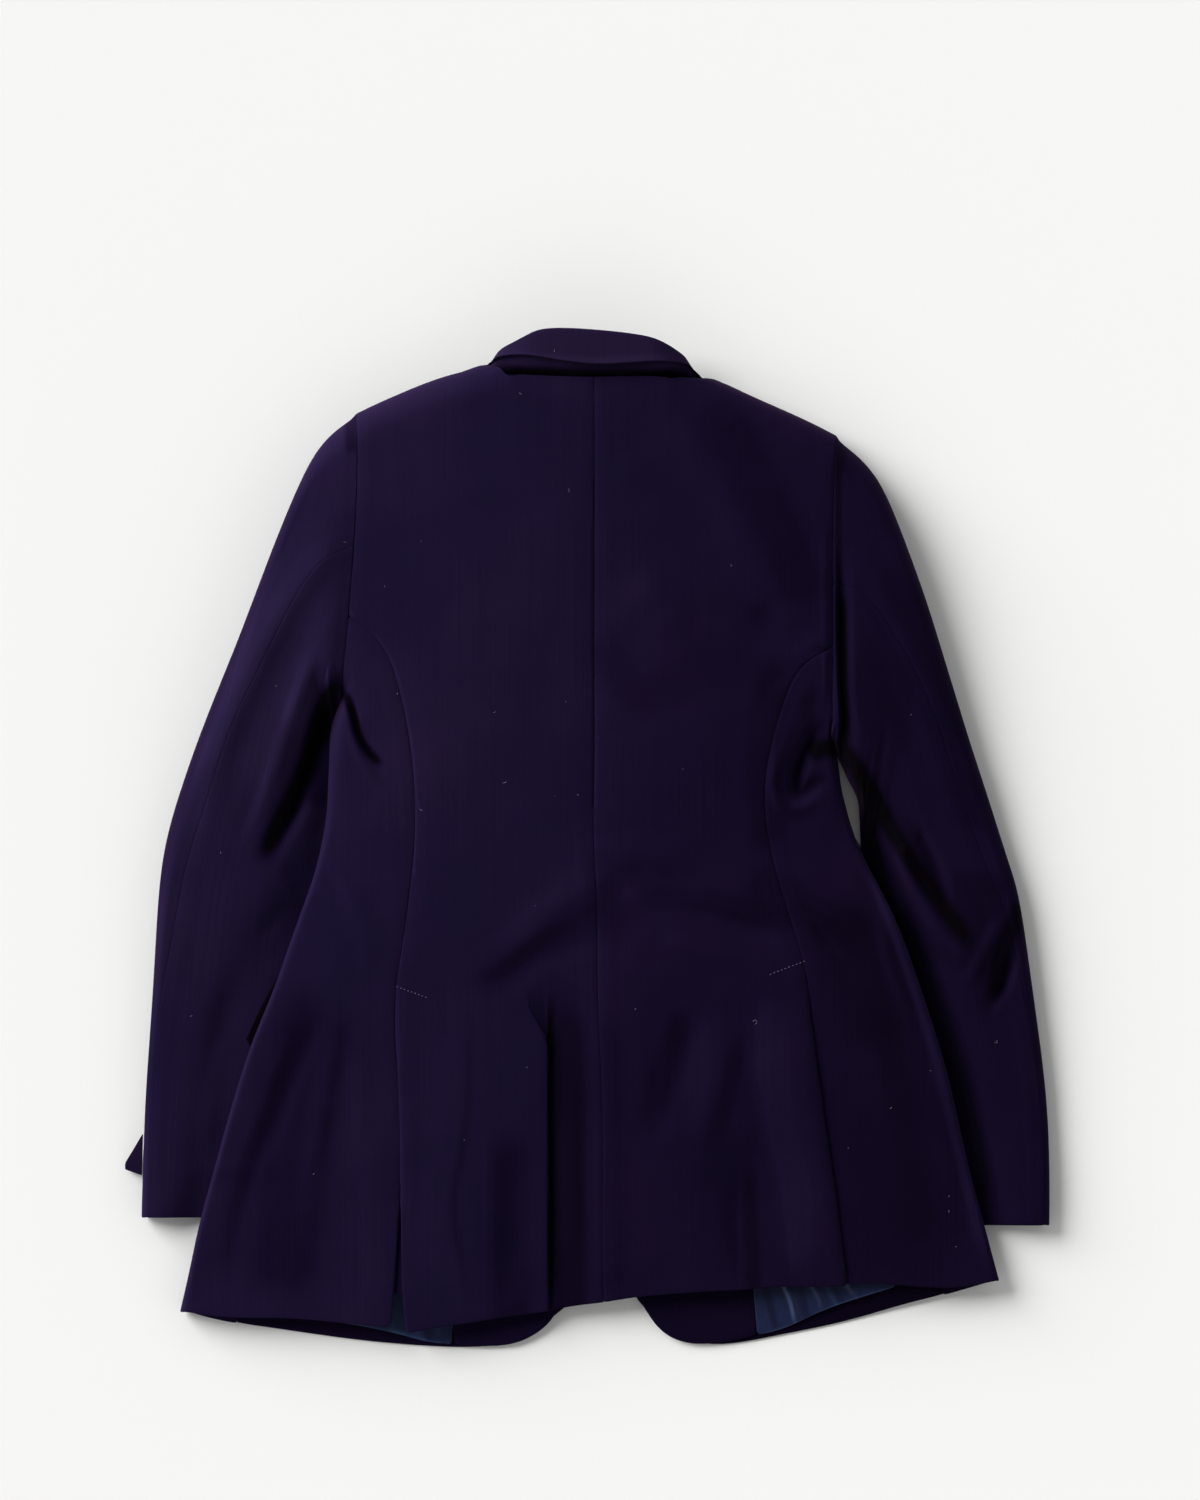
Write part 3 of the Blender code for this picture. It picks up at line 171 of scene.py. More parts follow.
def wool_material(name, dark, light):
    """Wool of two near colours, with ribs and loose fibres along V of the UV map."""
    material = bpy.data.materials.new(name)
    material.use_nodes = True
    tree = material.node_tree
    link = tree.links.new
    shader = tree.nodes["Principled BSDF"]
    shader.inputs["Roughness"].default_value = 0.8
    shader.inputs["Specular IOR Level"].default_value = 0.02
    shader.inputs["Sheen Weight"].default_value = 0.03
    shader.inputs["Sheen Roughness"].default_value = 0.5
    shader.inputs["Sheen Tint"].default_value = (0.85, 0.40, 0.80, 1)
    grain = add_node(tree, "ShaderNodeUVMap")
    place = add_node(tree, "ShaderNodeTexCoord")
    clouds = add_node(tree, "ShaderNodeTexNoise", Scale=7.0, Detail=3.0, Roughness=0.55)
    link(place.outputs["Object"], clouds.inputs["Vector"])
    rib_space = add_node(tree, "ShaderNodeMapping", Scale=(760.0, 6.0, 1.0))
    link(grain.outputs["UV"], rib_space.inputs["Vector"])
    ribs = add_node(tree, "ShaderNodeTexNoise", Scale=1.0, Detail=2.0, Roughness=0.5)
    link(rib_space.outputs["Vector"], ribs.inputs["Vector"])
    fibre_space = add_node(tree, "ShaderNodeMapping", Scale=(2600.0, 900.0, 1.0))
    link(grain.outputs["UV"], fibre_space.inputs["Vector"])
    fibres = add_node(tree, "ShaderNodeTexNoise", Scale=1.0, Detail=2.0, Roughness=0.6)
    link(fibre_space.outputs["Vector"], fibres.inputs["Vector"])
    share = add_node(tree, "ShaderNodeMath")
    share.operation = "MULTIPLY_ADD"
    share.inputs[1].default_value = 0.45
    link(ribs.outputs["Fac"], share.inputs[0])
    link(clouds.outputs["Fac"], share.inputs[2])
    ramp = add_node(tree, "ShaderNodeValToRGB")
    ramp.color_ramp.elements[0].position = 0.50
    ramp.color_ramp.elements[0].color = (*dark, 1)
    ramp.color_ramp.elements[1].position = 0.96
    ramp.color_ramp.elements[1].color = (*light, 1)
    link(share.outputs["Value"], ramp.inputs["Fac"])
    # The base colour carries the painted light and shade of the cloth.
    link(with_painted_shading(tree, ramp.outputs["Color"]), shader.inputs["Base Color"])
    height = add_node(tree, "ShaderNodeMath")
    height.operation = "ADD"
    link(ribs.outputs["Fac"], height.inputs[0])
    link(fibres.outputs["Fac"], height.inputs[1])
    bump = add_node(tree, "ShaderNodeBump", Strength=0.5, Distance=0.00022)
    link(height.outputs["Value"], bump.inputs["Height"])
    link(bump.outputs["Normal"], shader.inputs["Normal"])
    return material


WOOL = wool_material("wool", (0.0052, 0.0032, 0.0185), (0.0102, 0.0048, 0.0235))
COLLAR_WOOL = wool_material("collar_wool", (0.0086, 0.0042, 0.0200), (0.0116, 0.0060, 0.0260))
print("wool is woven")

# %% [markdown]
# The lining is a blue satin. Its threads are fine and smooth, so it is far glossier than the wool and shows
# soft bands of light across each fold. A low roughness with faint lines along the grain gives that.

# %% Weave the lining
def satin_material(name, colour):
    """Smooth satin with faint lines along V of the UV map."""
    material = bpy.data.materials.new(name)
    material.use_nodes = True
    tree = material.node_tree
    link = tree.links.new
    shader = tree.nodes["Principled BSDF"]
    shader.inputs["Roughness"].default_value = 0.42
    shader.inputs["Specular IOR Level"].default_value = 0.25
    shader.inputs["Sheen Weight"].default_value = 0.03
    shader.inputs["Sheen Tint"].default_value = (0.4, 0.5, 1.0, 1)
    grain = add_node(tree, "ShaderNodeUVMap")
    line_space = add_node(tree, "ShaderNodeMapping", Scale=(2200.0, 120.0, 1.0))
    link(grain.outputs["UV"], line_space.inputs["Vector"])
    lines = add_node(tree, "ShaderNodeTexNoise", Scale=1.0, Detail=2.0, Roughness=0.5)
    link(line_space.outputs["Vector"], lines.inputs["Vector"])
    ramp = add_node(tree, "ShaderNodeValToRGB")
    ramp.color_ramp.elements[0].position = 0.3
    ramp.color_ramp.elements[0].color = (*[0.75 * c for c in colour], 1)
    ramp.color_ramp.elements[1].position = 0.7
    ramp.color_ramp.elements[1].color = (*[1.25 * c for c in colour], 1)
    link(lines.outputs["Fac"], ramp.inputs["Fac"])
    # The base colour carries the painted light and shade of the cloth.
    link(with_painted_shading(tree, ramp.outputs["Color"]), shader.inputs["Base Color"])
    bump = add_node(tree, "ShaderNodeBump", Strength=0.3, Distance=0.0001)
    link(lines.outputs["Fac"], bump.inputs["Height"])
    link(bump.outputs["Normal"], shader.inputs["Normal"])
    return material


SATIN = satin_material("satin", (0.0075, 0.0120, 0.046))
print("satin is woven")

# %% [markdown]
# A crease is a soft trough or ridge along a bent line. Each is laid where the photograph has it,
# with its own width on either side, its own height and its own ends. Lines given by a few points are
# rounded first, and then the distance from the line says how far the cloth rises or falls.

# %% Measure along a bent line
def smooth_line(points, steps=8):
    """A rounded line through a few points."""
    ends = [tuple(2 * a - b for a, b in zip(points[0], points[1]))]
    ends += [tuple(2 * a - b for a, b in zip(points[-1], points[-2]))]
    knots = [ends[0], *points, ends[1]]
    line = []
    for p0, p1, p2, p3 in zip(knots, knots[1:], knots[2:], knots[3:]):
        for step in range(steps):
            t = step / steps
            line.append(tuple(
                0.5 * (
                    2 * b + (c - a) * t + (2 * a - 5 * b + 4 * c - d) * t * t
                    + (-a + 3 * b - 3 * c + d) * t ** 3
                )
                for a, b, c, d in zip(p0, p1, p2, p3)
            ))
    return [*line, tuple(points[-1])]


def beside_line(line, x, y):
    """Signed distance to a line, left of it positive, the place along it, and its length."""
    nearest = np.full(len(x), 1e9)
    side = np.zeros(len(x))
    place = np.zeros(len(x))
    start = 0.0
    for (ax, ay), (bx, by) in zip(line, line[1:]):
        dx = bx - ax
        dy = by - ay
        length = max(hypot(dx, dy), 1e-9)
        share = np.clip(((x - ax) * dx + (y - ay) * dy) / length ** 2, 0, 1)
        off_x = x - ax - share * dx
        off_y = y - ay - share * dy
        far = np.hypot(off_x, off_y)
        closer = far < nearest
        nearest = np.where(closer, far, nearest)
        side = np.where(closer, np.sign(dx * off_y - dy * off_x), side)
        place = np.where(closer, start + share * length, place)
        start += length
    return nearest * side, place, start


def smooth_step(share):
    """0 below 0, 1 above 1 and an even rise between them."""
    share = np.clip(share, 0, 1)
    return share * share * (3 - 2 * share)


def crease_height(creases, x, y, taper=0.35):
    """How far a table of creases lifts the cloth. taper is the share of a crease's length that runs out."""
    lift = np.zeros(len(x))
    for _, left, right, rise, *points in creases:
        line = smooth_line(points)
        xs = [p[0] for p in line]
        ys = [p[1] for p in line]
        reach = max(left, right)
        near = (x > min(xs) - reach) & (x < max(xs) + reach) & (y > min(ys) - reach) & (y < max(ys) + reach)
        if not near.any():
            continue
        side, place, length = beside_line(line, x[near], y[near])
        across = np.clip(np.abs(side) / np.where(side > 0, left, right), 0, 1)
        fade = taper * length
        ends = smooth_step(place / fade) * smooth_step((length - place) / fade)
        lift[near] += rise * 0.5 * (1 + np.cos(pi * across)) * ends
    return lift


# %% [markdown]
# These are the creases of the back and the sleeves, as read from the photograph. Most start where the cloth
# is held: under the arms, at the elbows, at the waist and above the vents.

# %% List the creases
# Name, width to the left of the line, width to its right, rise or fall, and the points it follows.
CREASES = (
    ("armpit fold, left sleeve", 12, 8, -8.0, (-188, 132), (-203, 96), (-217, 58), (-234, 14), (-252, -18)),
    ("slope beside it", 20, 10, -1.6, (-188, 136), (-205, 98), (-219, 56), (-238, 12), (-260, -24)),
    ("ridge left of it", 16, 10, 3.2, (-208, 156), (-228, 100), (-242, 56), (-258, 12), (-272, -24)),
    ("dent below the fold", 14, 12, -2.0, (-240, -22), (-226, -32), (-216, -46)),
    ("underarm crease, left", 4, 7, -3.4, (-191, 120), (-182, 102), (-178, 82), (-169, 66), (-154, 48)),
    ("underarm ridge, left", 8, 6, 1.2, (-186, 92), (-180, 70), (-170, 52), (-158, 38)),
    ("sleeve streak, left", 12, 20, 2.4, (-188, 240), (-222, 196), (-262, 124), (-290, 54), (-312, -18)),
    ("sleeve hollow, left", 16, 18, -1.1, (-216, 172), (-238, 124), (-254, 84)),
    ("small dent, left sleeve", 10, 10, -1.4, (-228, -48), (-241, -60), (-254, -80)),
    ("forearm hollow, left", 20, 20, -1.6, (-268, -90), (-282, -150), (-284, -220)),
    ("cuff band, left", 12, 12, 0.8, (-238, -262), (-280, -258), (-325, -262)),
    ("armhole roll, right", 5, 3, 1.2, (184, 258), (185, 190), (185, 120), (184, 92)),
    ("armhole shadow, right", 12, 3, -5.0, (196, 240), (197, 150), (199, 100), (205, 64), (214, 30)),
    ("underarm valley, right", 9, 9, -5.2, (186, 98), (172, 72), (164, 50), (168, 36), (190, 52)),
    ("underarm ridge, right", 8, 7, 2.6, (150, 72), (144, 44), (152, 26), (168, 23), (186, 34)),
    ("small crease, right armhole", 4, 5, -1.1, (160, 160), (176, 147), (193, 147)),
    ("shadow left of it", 18, 20, -2.2, (128, 186), (150, 162), (180, 152)),
    ("shoulder blade band", 30, 34, -1.6, (26, 352), (70, 290), (112, 216), (160, 150)),
    ("blade band, lower end", 20, 26, -1.0, (70, 152), (104, 139), (140, 124)),
    ("blade swell, left", 50, 50, 1.8, (-90, 330), (-96, 240), (-92, 150)),
    ("centre hollow", 30, 26, -1.8, (-40, 175), (-28, 110), (-22, 60)),
    ("blade swell, right", 26, 26, 1.8, (32, 205), (66, 176), (88, 168)),
    ("side swell, right", 16, 22, 1.6, (150, 128), (166, 116), (180, 108)),
    ("waist ridge, left", 22, 16, 1.5, (-104, -108), (-66, -92), (-30, -64), (16, -44), (52, -48)),
    ("waist valley, left", 16, 20, -2.0, (-88, -128), (-56, -104), (-26, -84), (14, -74)),
    ("waist valley, middle", 18, 20, -1.8, (0, -62), (26, -36), (58, -34), (96, -48)),
    ("waist ridge, upper", 18, 18, 1.3, (-26, -28), (6, -12), (50, -10), (90, -26)),
    ("waist valley, right", 10, 13, -2.0, (66, -50), (100, -62), (131, -72), (152, -88)),
    ("waist ridge, right", 14, 14, 1.4, (56, -76), (92, -88), (128, -98)),
    ("side pull, right", 5, 6, -1.6, (160, -52), (190, -66), (222, -92)),
    ("side ridge, right", 6, 6, 1.2, (158, -40), (192, -50), (226, -74)),
    ("vent pull, right", 5, 5, -1.3, (176, -64), (186, -80), (199, -94)),
    ("skirt valley, middle", 16, 22, -1.8, (88, -126), (74, -168), (62, -204), (46, -250)),
    ("skirt swell, middle", 18, 22, 2.4, (112, -136), (102, -190), (86, -250)),
    ("skirt swell, left of the seam", 14, 12, 1.2, (-12, -190), (-14, -260), (-12, -340)),
    ("skirt valley, right", 14, 12, -1.2, (118, -250), (116, -300), (124, -352)),
    ("skirt hollow, left", 24, 20, -2.6, (-64, -210), (-58, -280), (-60, -366)),
    ("pressed band, left vent", 10, 44, 1.2,
     (-98, -120), (-98, -190), (-103, -243), (-110, -286), (-104, -330), (-96, -384)),
    ("pressed band, right vent", 46, 10, 1.3,
     (133, -110), (134, -172), (143, -227), (155, -282), (160, -356)),
    ("pressed band, left side", 28, 9, 0.8,
     (-181, -140), (-179, -200), (-176, -247), (-168, -325), (-162, -384)),
    ("hem turn-up, left", 3, 3, 0.22, (-136, -350), (-84, -342), (-36, -334)),
    ("hem turn-up, right", 3, 3, 0.22, (18, -327), (90, -320), (166, -315)),
    ("side valley, left", 13, 15, -2.6, (-206, -128), (-229, -177), (-245, -221), (-261, -261), (-286, -355)),
    ("side ridge, left", 10, 16, 1.6, (-190, -120), (-204, -200), (-212, -260), (-220, -340)),
    ("hip ridge, left", 12, 10, 1.6, (-196, -20), (-176, -66), (-168, -110)),
    ("elbow ridge, right", 9, 8, 3.8, (232, 24), (249, -22), (257, -44), (271, -67), (286, -85), (302, -104)),
    ("elbow valley, right", 9, 9, -4.6, (210, 70), (239, 32), (262, -4), (278, -40), (280, -70)),
    ("forearm valley, right", 8, 10, -4.2, (219, 38), (231, -4), (240, -32), (257, -82), (277, -140)),
    ("forearm ridge, right", 8, 8, 1.6, (226, -60), (238, -104), (256, -150)),
    ("elbow crease, right", 7, 8, -3.6, (334, -84), (326, -112), (310, -138)),
    ("elbow bulge, right", 10, 9, 2.4, (324, -58), (310, -90), (294, -118)),
    ("forearm hollow, right", 20, 22, -2.2, (290, -170), (299, -240), (302, -292)),
    ("sleeve valley, right", 12, 14, -1.0, (222, 150), (242, 100), (262, 56)),
    ("sleeve streak, right", 12, 16, 1.6, (210, 228), (240, 176), (266, 120), (290, 70)),
)
# The under side lies on the paper, so its creases only rise from it. They don't show, and follow the others.
UNDER_CREASES = (
    ("button pull, left", 12, 10, 1.7, (-24, -38), (-72, -22), (-128, -8)),
    ("lower button pull, left", 12, 13, 2.0, (-22, -66), (-64, -98), (-112, -146)),
    ("button pull, right", 10, 12, 1.6, (32, -38), (84, -18), (136, -6)),
    ("lower button pull, right", 13, 12, 1.9, (30, -68), (76, -106), (116, -158)),
    ("skirt fold, left front", 16, 20, 1.8, (-96, -176), (-108, -256), (-102, -344)),
    ("skirt fold, right front", 20, 16, 1.6, (130, -184), (146, -262), (138, -342)),
    ("chest drag, left", 14, 17, 1.6, (-164, 40), (-138, 104), (-130, 178)),
    ("chest drag, right", 17, 14, 1.6, (160, 34), (138, 96), (132, 170)),
    ("side pull, left front", 9, 11, 1.3, (-196, -30), (-164, -62), (-136, -110)),
    ("side pull, right front", 11, 9, 1.3, (204, -24), (172, -58), (142, -100)),
    ("elbow fold, left", 9, 10, 2.2, (-312, 6), (-276, 2), (-240, -26)),
    ("lower elbow fold, left", 8, 10, 1.8, (-322, -44), (-284, -50), (-244, -78)),
    ("elbow fold, right", 10, 9, 2.2, (326, -26), (290, -36), (252, -70)),
    ("lower elbow fold, right", 10, 8, 1.8, (334, -82), (298, -92), (258, -118)),
    ("upper sleeve, left", 12, 15, 1.7, (-212, 232), (-240, 166), (-266, 92)),
    ("upper sleeve, right", 15, 12, 1.7, (216, 212), (244, 148), (272, 78)),
    ("forearm, left", 14, 12, 1.3, (-276, -140), (-296, -196), (-300, -262)),
    ("forearm, right", 12, 14, 1.3, (286, -156), (304, -214), (310, -276)),
)

# The satin at the hem is looser than the wool, so it stands up in short slanting folds.
LINING_CREASES = (
    ("first fold, left", 4, 5, 1.8, (-184, -346), (-176, -366), (-166, -384)),
    ("second fold, left", 5, 4, 1.0, (-168, -342), (-158, -368), (-147, -389)),
    ("third fold, left", 4, 6, 1.9, (-146, -340), (-138, -366), (-126, -394)),
    ("fourth fold, left", 5, 4, 0.9, (-126, -342), (-120, -368), (-110, -396)),
    ("first fold, right", 5, 4, 1.9, (150, -340), (160, -362), (164, -384)),
    ("second fold, right", 4, 5, 1.5, (172, -340), (182, -358), (186, -372)),
    ("third fold, right", 5, 5, 1.6, (196, -338), (206, -350), (214, -362)),
)
print("creases:", len(CREASES) + len(UNDER_CREASES) + len(LINING_CREASES))

# %% [markdown]
# Relief alone doesn't make the deep folds as dark as they are in the photograph, where wool lies close
# against wool. So a second table paints shade into the colour: how much light each such place loses. Rows
# with a negative share are painted highlights on lit edges, ridges, folds and pressed bands. The photograph
# is also brighter and redder on its left than these lamps make it, so a row of values along X paints in the
# rest of that light, and a row along Y does the same from hem to collar. All are multiplied and stored on the
# cloth as one colour attribute of painted light and shade, which the materials read. They belong to the
# colour, so they stay as they are in any other light.

# %% List the painted shades and highlights
# Painted shade and highlights. Where: a word in the piece's name. Then the name, width to the left of the
# line, width to its right, share of the light that is lost, and the points the line follows. A negative share
# is a painted highlight.
PAINTED_SHADES_AND_HIGHLIGHTS = (
    ("sleeve_left", "armpit fold", 13, 12, 0.97,
     (-188, 136), (-208, 95), (-220, 54), (-239, 14), (-258, -26)),
    ("sleeve_left", "beside the armpit fold", 17, 14, 0.50, (-198, 108), (-206, 64), (-213, 18)),
    ("sleeve_left", "back of the sleeve", 22, 26, -0.22, (-198, 206), (-236, 116), (-268, 30)),
    ("sleeve_left", "forearm", 22, 22, -0.22, (-236, -50), (-274, -150), (-302, -280)),
    ("sleeve_left", "outer edge", 8, 12, 0.32,
     (-196, 322), (-262, 182), (-308, 62), (-336, -40), (-346, -200), (-349, -290)),
    ("side_left", "underarm crease", 6, 6, 0.92, (-190, 118), (-182, 95), (-175, 74), (-158, 54)),
    ("sleeve_right", "armhole", 10, 5, 0.97, (196, 200), (197, 150), (198, 118), (200, 60)),
    ("sleeve_right", "upper armhole", 5, 3, 0.50, (195, 300), (196, 180)),
    ("sleeve_right", "elbow valley", 12, 11, 0.93, (210, 56), (226, 26), (250, -14), (272, -46), (306, -92)),
    ("sleeve_right", "inner edge", 12, 9, 0.90, (206, 84), (216, 26), (230, -40), (254, -112), (290, -250)),
    ("sleeve_right", "outer elbow", 12, 12, 0.80, (344, -44), (326, -84), (316, -130)),
    ("sleeve_right", "underarm hollow", 12, 12, 0.92, (180, 78), (200, 66), (216, 44), (232, 8)),
    ("sleeve_right", "elbow", 36, 40, 0.26, (306, -20), (292, -110)),
    ("sleeve_right", "outer half", 14, 14, 0.22, (252, 214), (282, 104), (308, -10)),
    ("side_right", "underarm hollow", 13, 12, 0.93, (170, 66), (186, 70), (208, 70)),
    ("right", "beside the curved seam", 26, 26, 0.28, (150, 150), (138, 60), (142, -20)),
    ("right", "right waist", 26, 26, 0.28, (118, -30), (166, -50), (230, -84)),
    ("back_right", "right shoulder", 30, 34, 0.24, (92, 352), (136, 270), (176, 170)),
    ("", "left shoulder corner", 7, 7, 0.50, (-185, 340), (-184, 298)),
    ("", "right shoulder corner", 7, 7, 0.45, (198, 322), (197, 282)),
    ("side_right", "underarm valley", 8, 8, 0.40, (188, 96), (170, 62), (166, 38), (192, 52)),
    ("collar", "stand", 10, 10, 0.98, (-104, 352), (-60, 360.5), (5, 360), (62, 358.5), (112, 346)),
    ("collar", "edge of the fall", 6, 3, -0.30, (-66, 378), (-30, 373), (5, 371), (40, 373), (72, 374)),
    ("back_left", "pleat", 8, 2, 0.95, (-30, -112), (-30, -190), (-30, -372)),
    ("back_left", "right of the pleat", 24, 20, 0.62, (-15, -104), (-15, -470)),
    ("back_left", "left of the pleat", 24, 28, 0.36, (-56, -220), (-58, -440)),
    ("front_left", "corner of the front", 20, 20, 0.50, (-56, -392), (-18, -366)),
    ("back_right", "right of the centre seam", 26, 20, 0.22, (14, -120), (14, -372)),
    ("back_right", "shoulder blade band", 30, 26, -0.10, (44, 340), (80, 270), (112, 190)),
    ("back", "blade band, lower end", 26, 22, 0.14, (0, 168), (40, 112), (104, 130), (178, 108)),
    ("back", "waist valley, left", 34, 36, 0.26, (-96, -116), (-52, -84), (0, -58), (36, -40)),
    ("back", "waist valley, right", 14, 14, 0.26, (34, -46), (104, -50), (170, -74)),
    ("back_right", "skirt valley", 14, 14, 0.22, (74, -128), (64, -224)),
    ("back_right", "lower skirt valley", 9, 9, 0.46, (126, -250), (131, -390)),
    ("back_right", "pressed band of the vent", 40, 7, -0.50,
     (136, -116), (136, -172), (145, -227), (157, -282), (162, -356)),
    ("side_right", "below the waist", 40, 40, 0.34, (190, -50), (214, -110), (230, -170)),
    ("side_right", "side of the skirt", 22, 20, 0.24, (220, -110), (246, -210), (262, -330)),
    ("side_right", "lit edge", 7, 8, -0.90, (208, -4), (244, -82), (277, -186), (314, -345)),
    ("sleeve_right", "under the body's edge", 18, 6, 0.80, (226, -34), (254, -88), (288, -190), (314, -310)),
    ("side_left", "side body", 46, 46, 0.36, (-200, -112), (-226, -220), (-242, -372)),
    ("side_left", "side valley", 12, 14, 0.25, (-206, -128), (-229, -177), (-248, -230), (-286, -360)),
    ("back_left", "pressed band of the vent", 6, 38, -0.16,
     (-98, -130), (-98, -190), (-103, -243), (-110, -286), (-96, -384)),
    ("back_left", "waist ridge", 14, 12, -0.16, (-104, -104), (-62, -78), (-22, -44), (6, -12)),
    ("sleeve_right", "elbow ridge", 6, 6, -0.30, (240, 18), (256, -30), (280, -74), (304, -104)),
    ("sleeve_left", "streak", 12, 16, -0.20, (-196, 240), (-262, 124), (-312, -18)),
    ("lining", "turned hem, left", 3, 2, -0.8, (-204, -378), (-158, -384), (-126, -393), (-104, -396)),
    ("lining", "turned hem, right", 2, 3, -0.8, (132, -388), (159, -381), (194, -365), (240, -350)),
    ("lining", "in the left vent", 10, 10, -0.6, (-148, -350), (-148, -392)),
    ("lining", "hollow, left", 4, 5, 0.45, (-176, -350), (-168, -384)),
    ("lining", "hollow, middle left", 5, 4, 0.40, (-134, -352), (-122, -394)),
    ("lining", "first hollow, right", 4, 5, 0.45, (138, -344), (148, -386)),
    ("lining", "second hollow, right", 5, 4, 0.40, (164, -342), (172, -378)),
    ("lining", "third hollow, right", 4, 4, 0.35, (188, -340), (200, -364)),
    ("lining", "fold, right", 2, 3, -0.7, (154, -344), (164, -382)),
    ("lining", "short fold, right", 2, 3, -0.6, (182, -342), (196, -366)),
)
# Painted light: place along X, and how much light is painted onto the wool there, then the same along Y.
PAINTED_SIDE_LIGHT = ((-345, -205, -110, -30, 50, 130, 240, 345), (1.45, 1.34, 1.24, 1.10, 0.86, 0.74, 0.64, 0.70))
PAINTED_HEIGHT_LIGHT = ((-400, -120, -20, 80, 350), (0.82, 0.86, 0.94, 1.0, 1.04))
# Powers of the painted light and shade for red, green and blue: where light is painted the wool is redder, and
# where shade is painted it is bluer.
PAINTED_SHADING_POWERS = (1.10, 1.42, 0.92)
# Painted shadow: share of the light kept by pieces that lie in the shadow of others. The collar's factor makes
# its cloth paler.
PIECE_LIGHT = {
    "front_left": 0.60, "front_right": 0.60, "facing_left": 0.80, "facing_right": 0.85,
    "pocket_flap_left": 0.05, "pocket_flap_right": 0.05, "collar": 1.18, "cuff_corner_left": 0.6,
}
# A painted shade has a flat middle, because its depth is multiplied by CORE and then cut off at 1.
CORE = 1.5
SHADE_TAPER = 0.18
print("dark and pale places:", len(PAINTED_SHADES_AND_HIGHLIGHTS))

# %% [markdown]
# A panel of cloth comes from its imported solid. The copy's triangles are welded and joined to four-sided
# faces, its sharp rims are creased, and a Subdivision Surface rounds it to a soft shell. A free edge gets a
# weak crease, which leaves the round edge that pressed wool has. A rim that is sewn to its neighbour gets a
# strong one, so that the two panels stay close together.

# %% Make a soft shell of a solid
# WELD and SEWN_GAP are in metres, and the angles are in radians.
WELD = 0.000002
QUAD_FOLD = 0.5
QUAD_SHAPE = 1.2
RIM_ANGLE = 0.7
FREE_CREASE = 0.42
SEWN_CREASE = 0.9
SEWN_GAP = 0.0009

surfaces = {}
for name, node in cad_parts.items():
    bm = bmesh.new()
    bm.from_mesh(node.data)
    surfaces[name] = BVHTree.FromBMesh(bm)
    bm.free()


def is_sewn(place, node):
    """Whether another piece lies right beside a place on a rim."""
    return any(surfaces[other].find_nearest(place, SEWN_GAP)[0] for other in surfaces if other != node)


def soft_mesh(node, levels):
    """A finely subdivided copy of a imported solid. Its attribute rim is 1 along the edges of the cloth."""
    bm = bmesh.new()
    bm.from_mesh(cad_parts[node].data)
    bmesh.ops.remove_doubles(bm, verts=bm.verts, dist=WELD)
    bmesh.ops.join_triangles(
        bm, faces=bm.faces, angle_face_threshold=QUAD_FOLD, angle_shape_threshold=QUAD_SHAPE,
    )
    crease = bm.edges.layers.float.new("crease_edge")
    rim = bm.verts.layers.float.new("rim")
    for edge in bm.edges:
        if len(edge.link_faces) == 2 and edge.calc_face_angle() > RIM_ANGLE:
            sewn = all(is_sewn(vert.co, node) for vert in edge.verts)
            edge[crease] = SEWN_CREASE if sewn else FREE_CREASE
            for vert in edge.verts:
                vert[rim] = 1.0
    coarse = bpy.data.meshes.new(node + "_coarse")
    bm.to_mesh(coarse)
    bm.free()
    holder = bpy.data.objects.new(node + "_coarse", coarse)
    scene.collection.objects.link(holder)
    subdivision = holder.modifiers.new("round", "SUBSURF")
    subdivision.levels = levels
    subdivision.render_levels = levels
    bpy.context.view_layer.update()
    fine = bpy.data.meshes.new_from_object(holder.evaluated_get(bpy.context.evaluated_depsgraph_get()))
    bpy.data.objects.remove(holder)
    bpy.data.meshes.remove(coarse)
    return fine


def get_points(mesh):
    """The places of a mesh's vertices, in millimetres."""
    points = np.empty(len(mesh.vertices) * 3, np.float32)
    mesh.vertices.foreach_get("co", points)
    return points.reshape(-1, 3).astype(float) / MM


def set_points(mesh, points):
    """Moves a mesh's vertices to places in millimetres."""
    mesh.vertices.foreach_set("co", (points * MM).astype(np.float32).ravel())
    mesh.update()


# %% [markdown]
# Every piece of cloth has a row: how finely it is divided, what it is made of, about the size it was cut to
# and the area of the cut. A sleeve's grain follows the line down its middle, and a panel of the body has
# its grain along Y.

# %% List the pieces of cloth
BODY_GRAIN = ((0, -400), (0, 400))
LEFT_SLEEVE_GRAIN = (
    (-180, 330), (-203, 220), (-232, 120), (-257, 0), (-268, -60), (-280, -190), (-286, -300),
)
RIGHT_SLEEVE_GRAIN = (
    (188, 310), (213, 210), (240, 110), (266, 0), (276, -70), (292, -200), (298, -305),
)
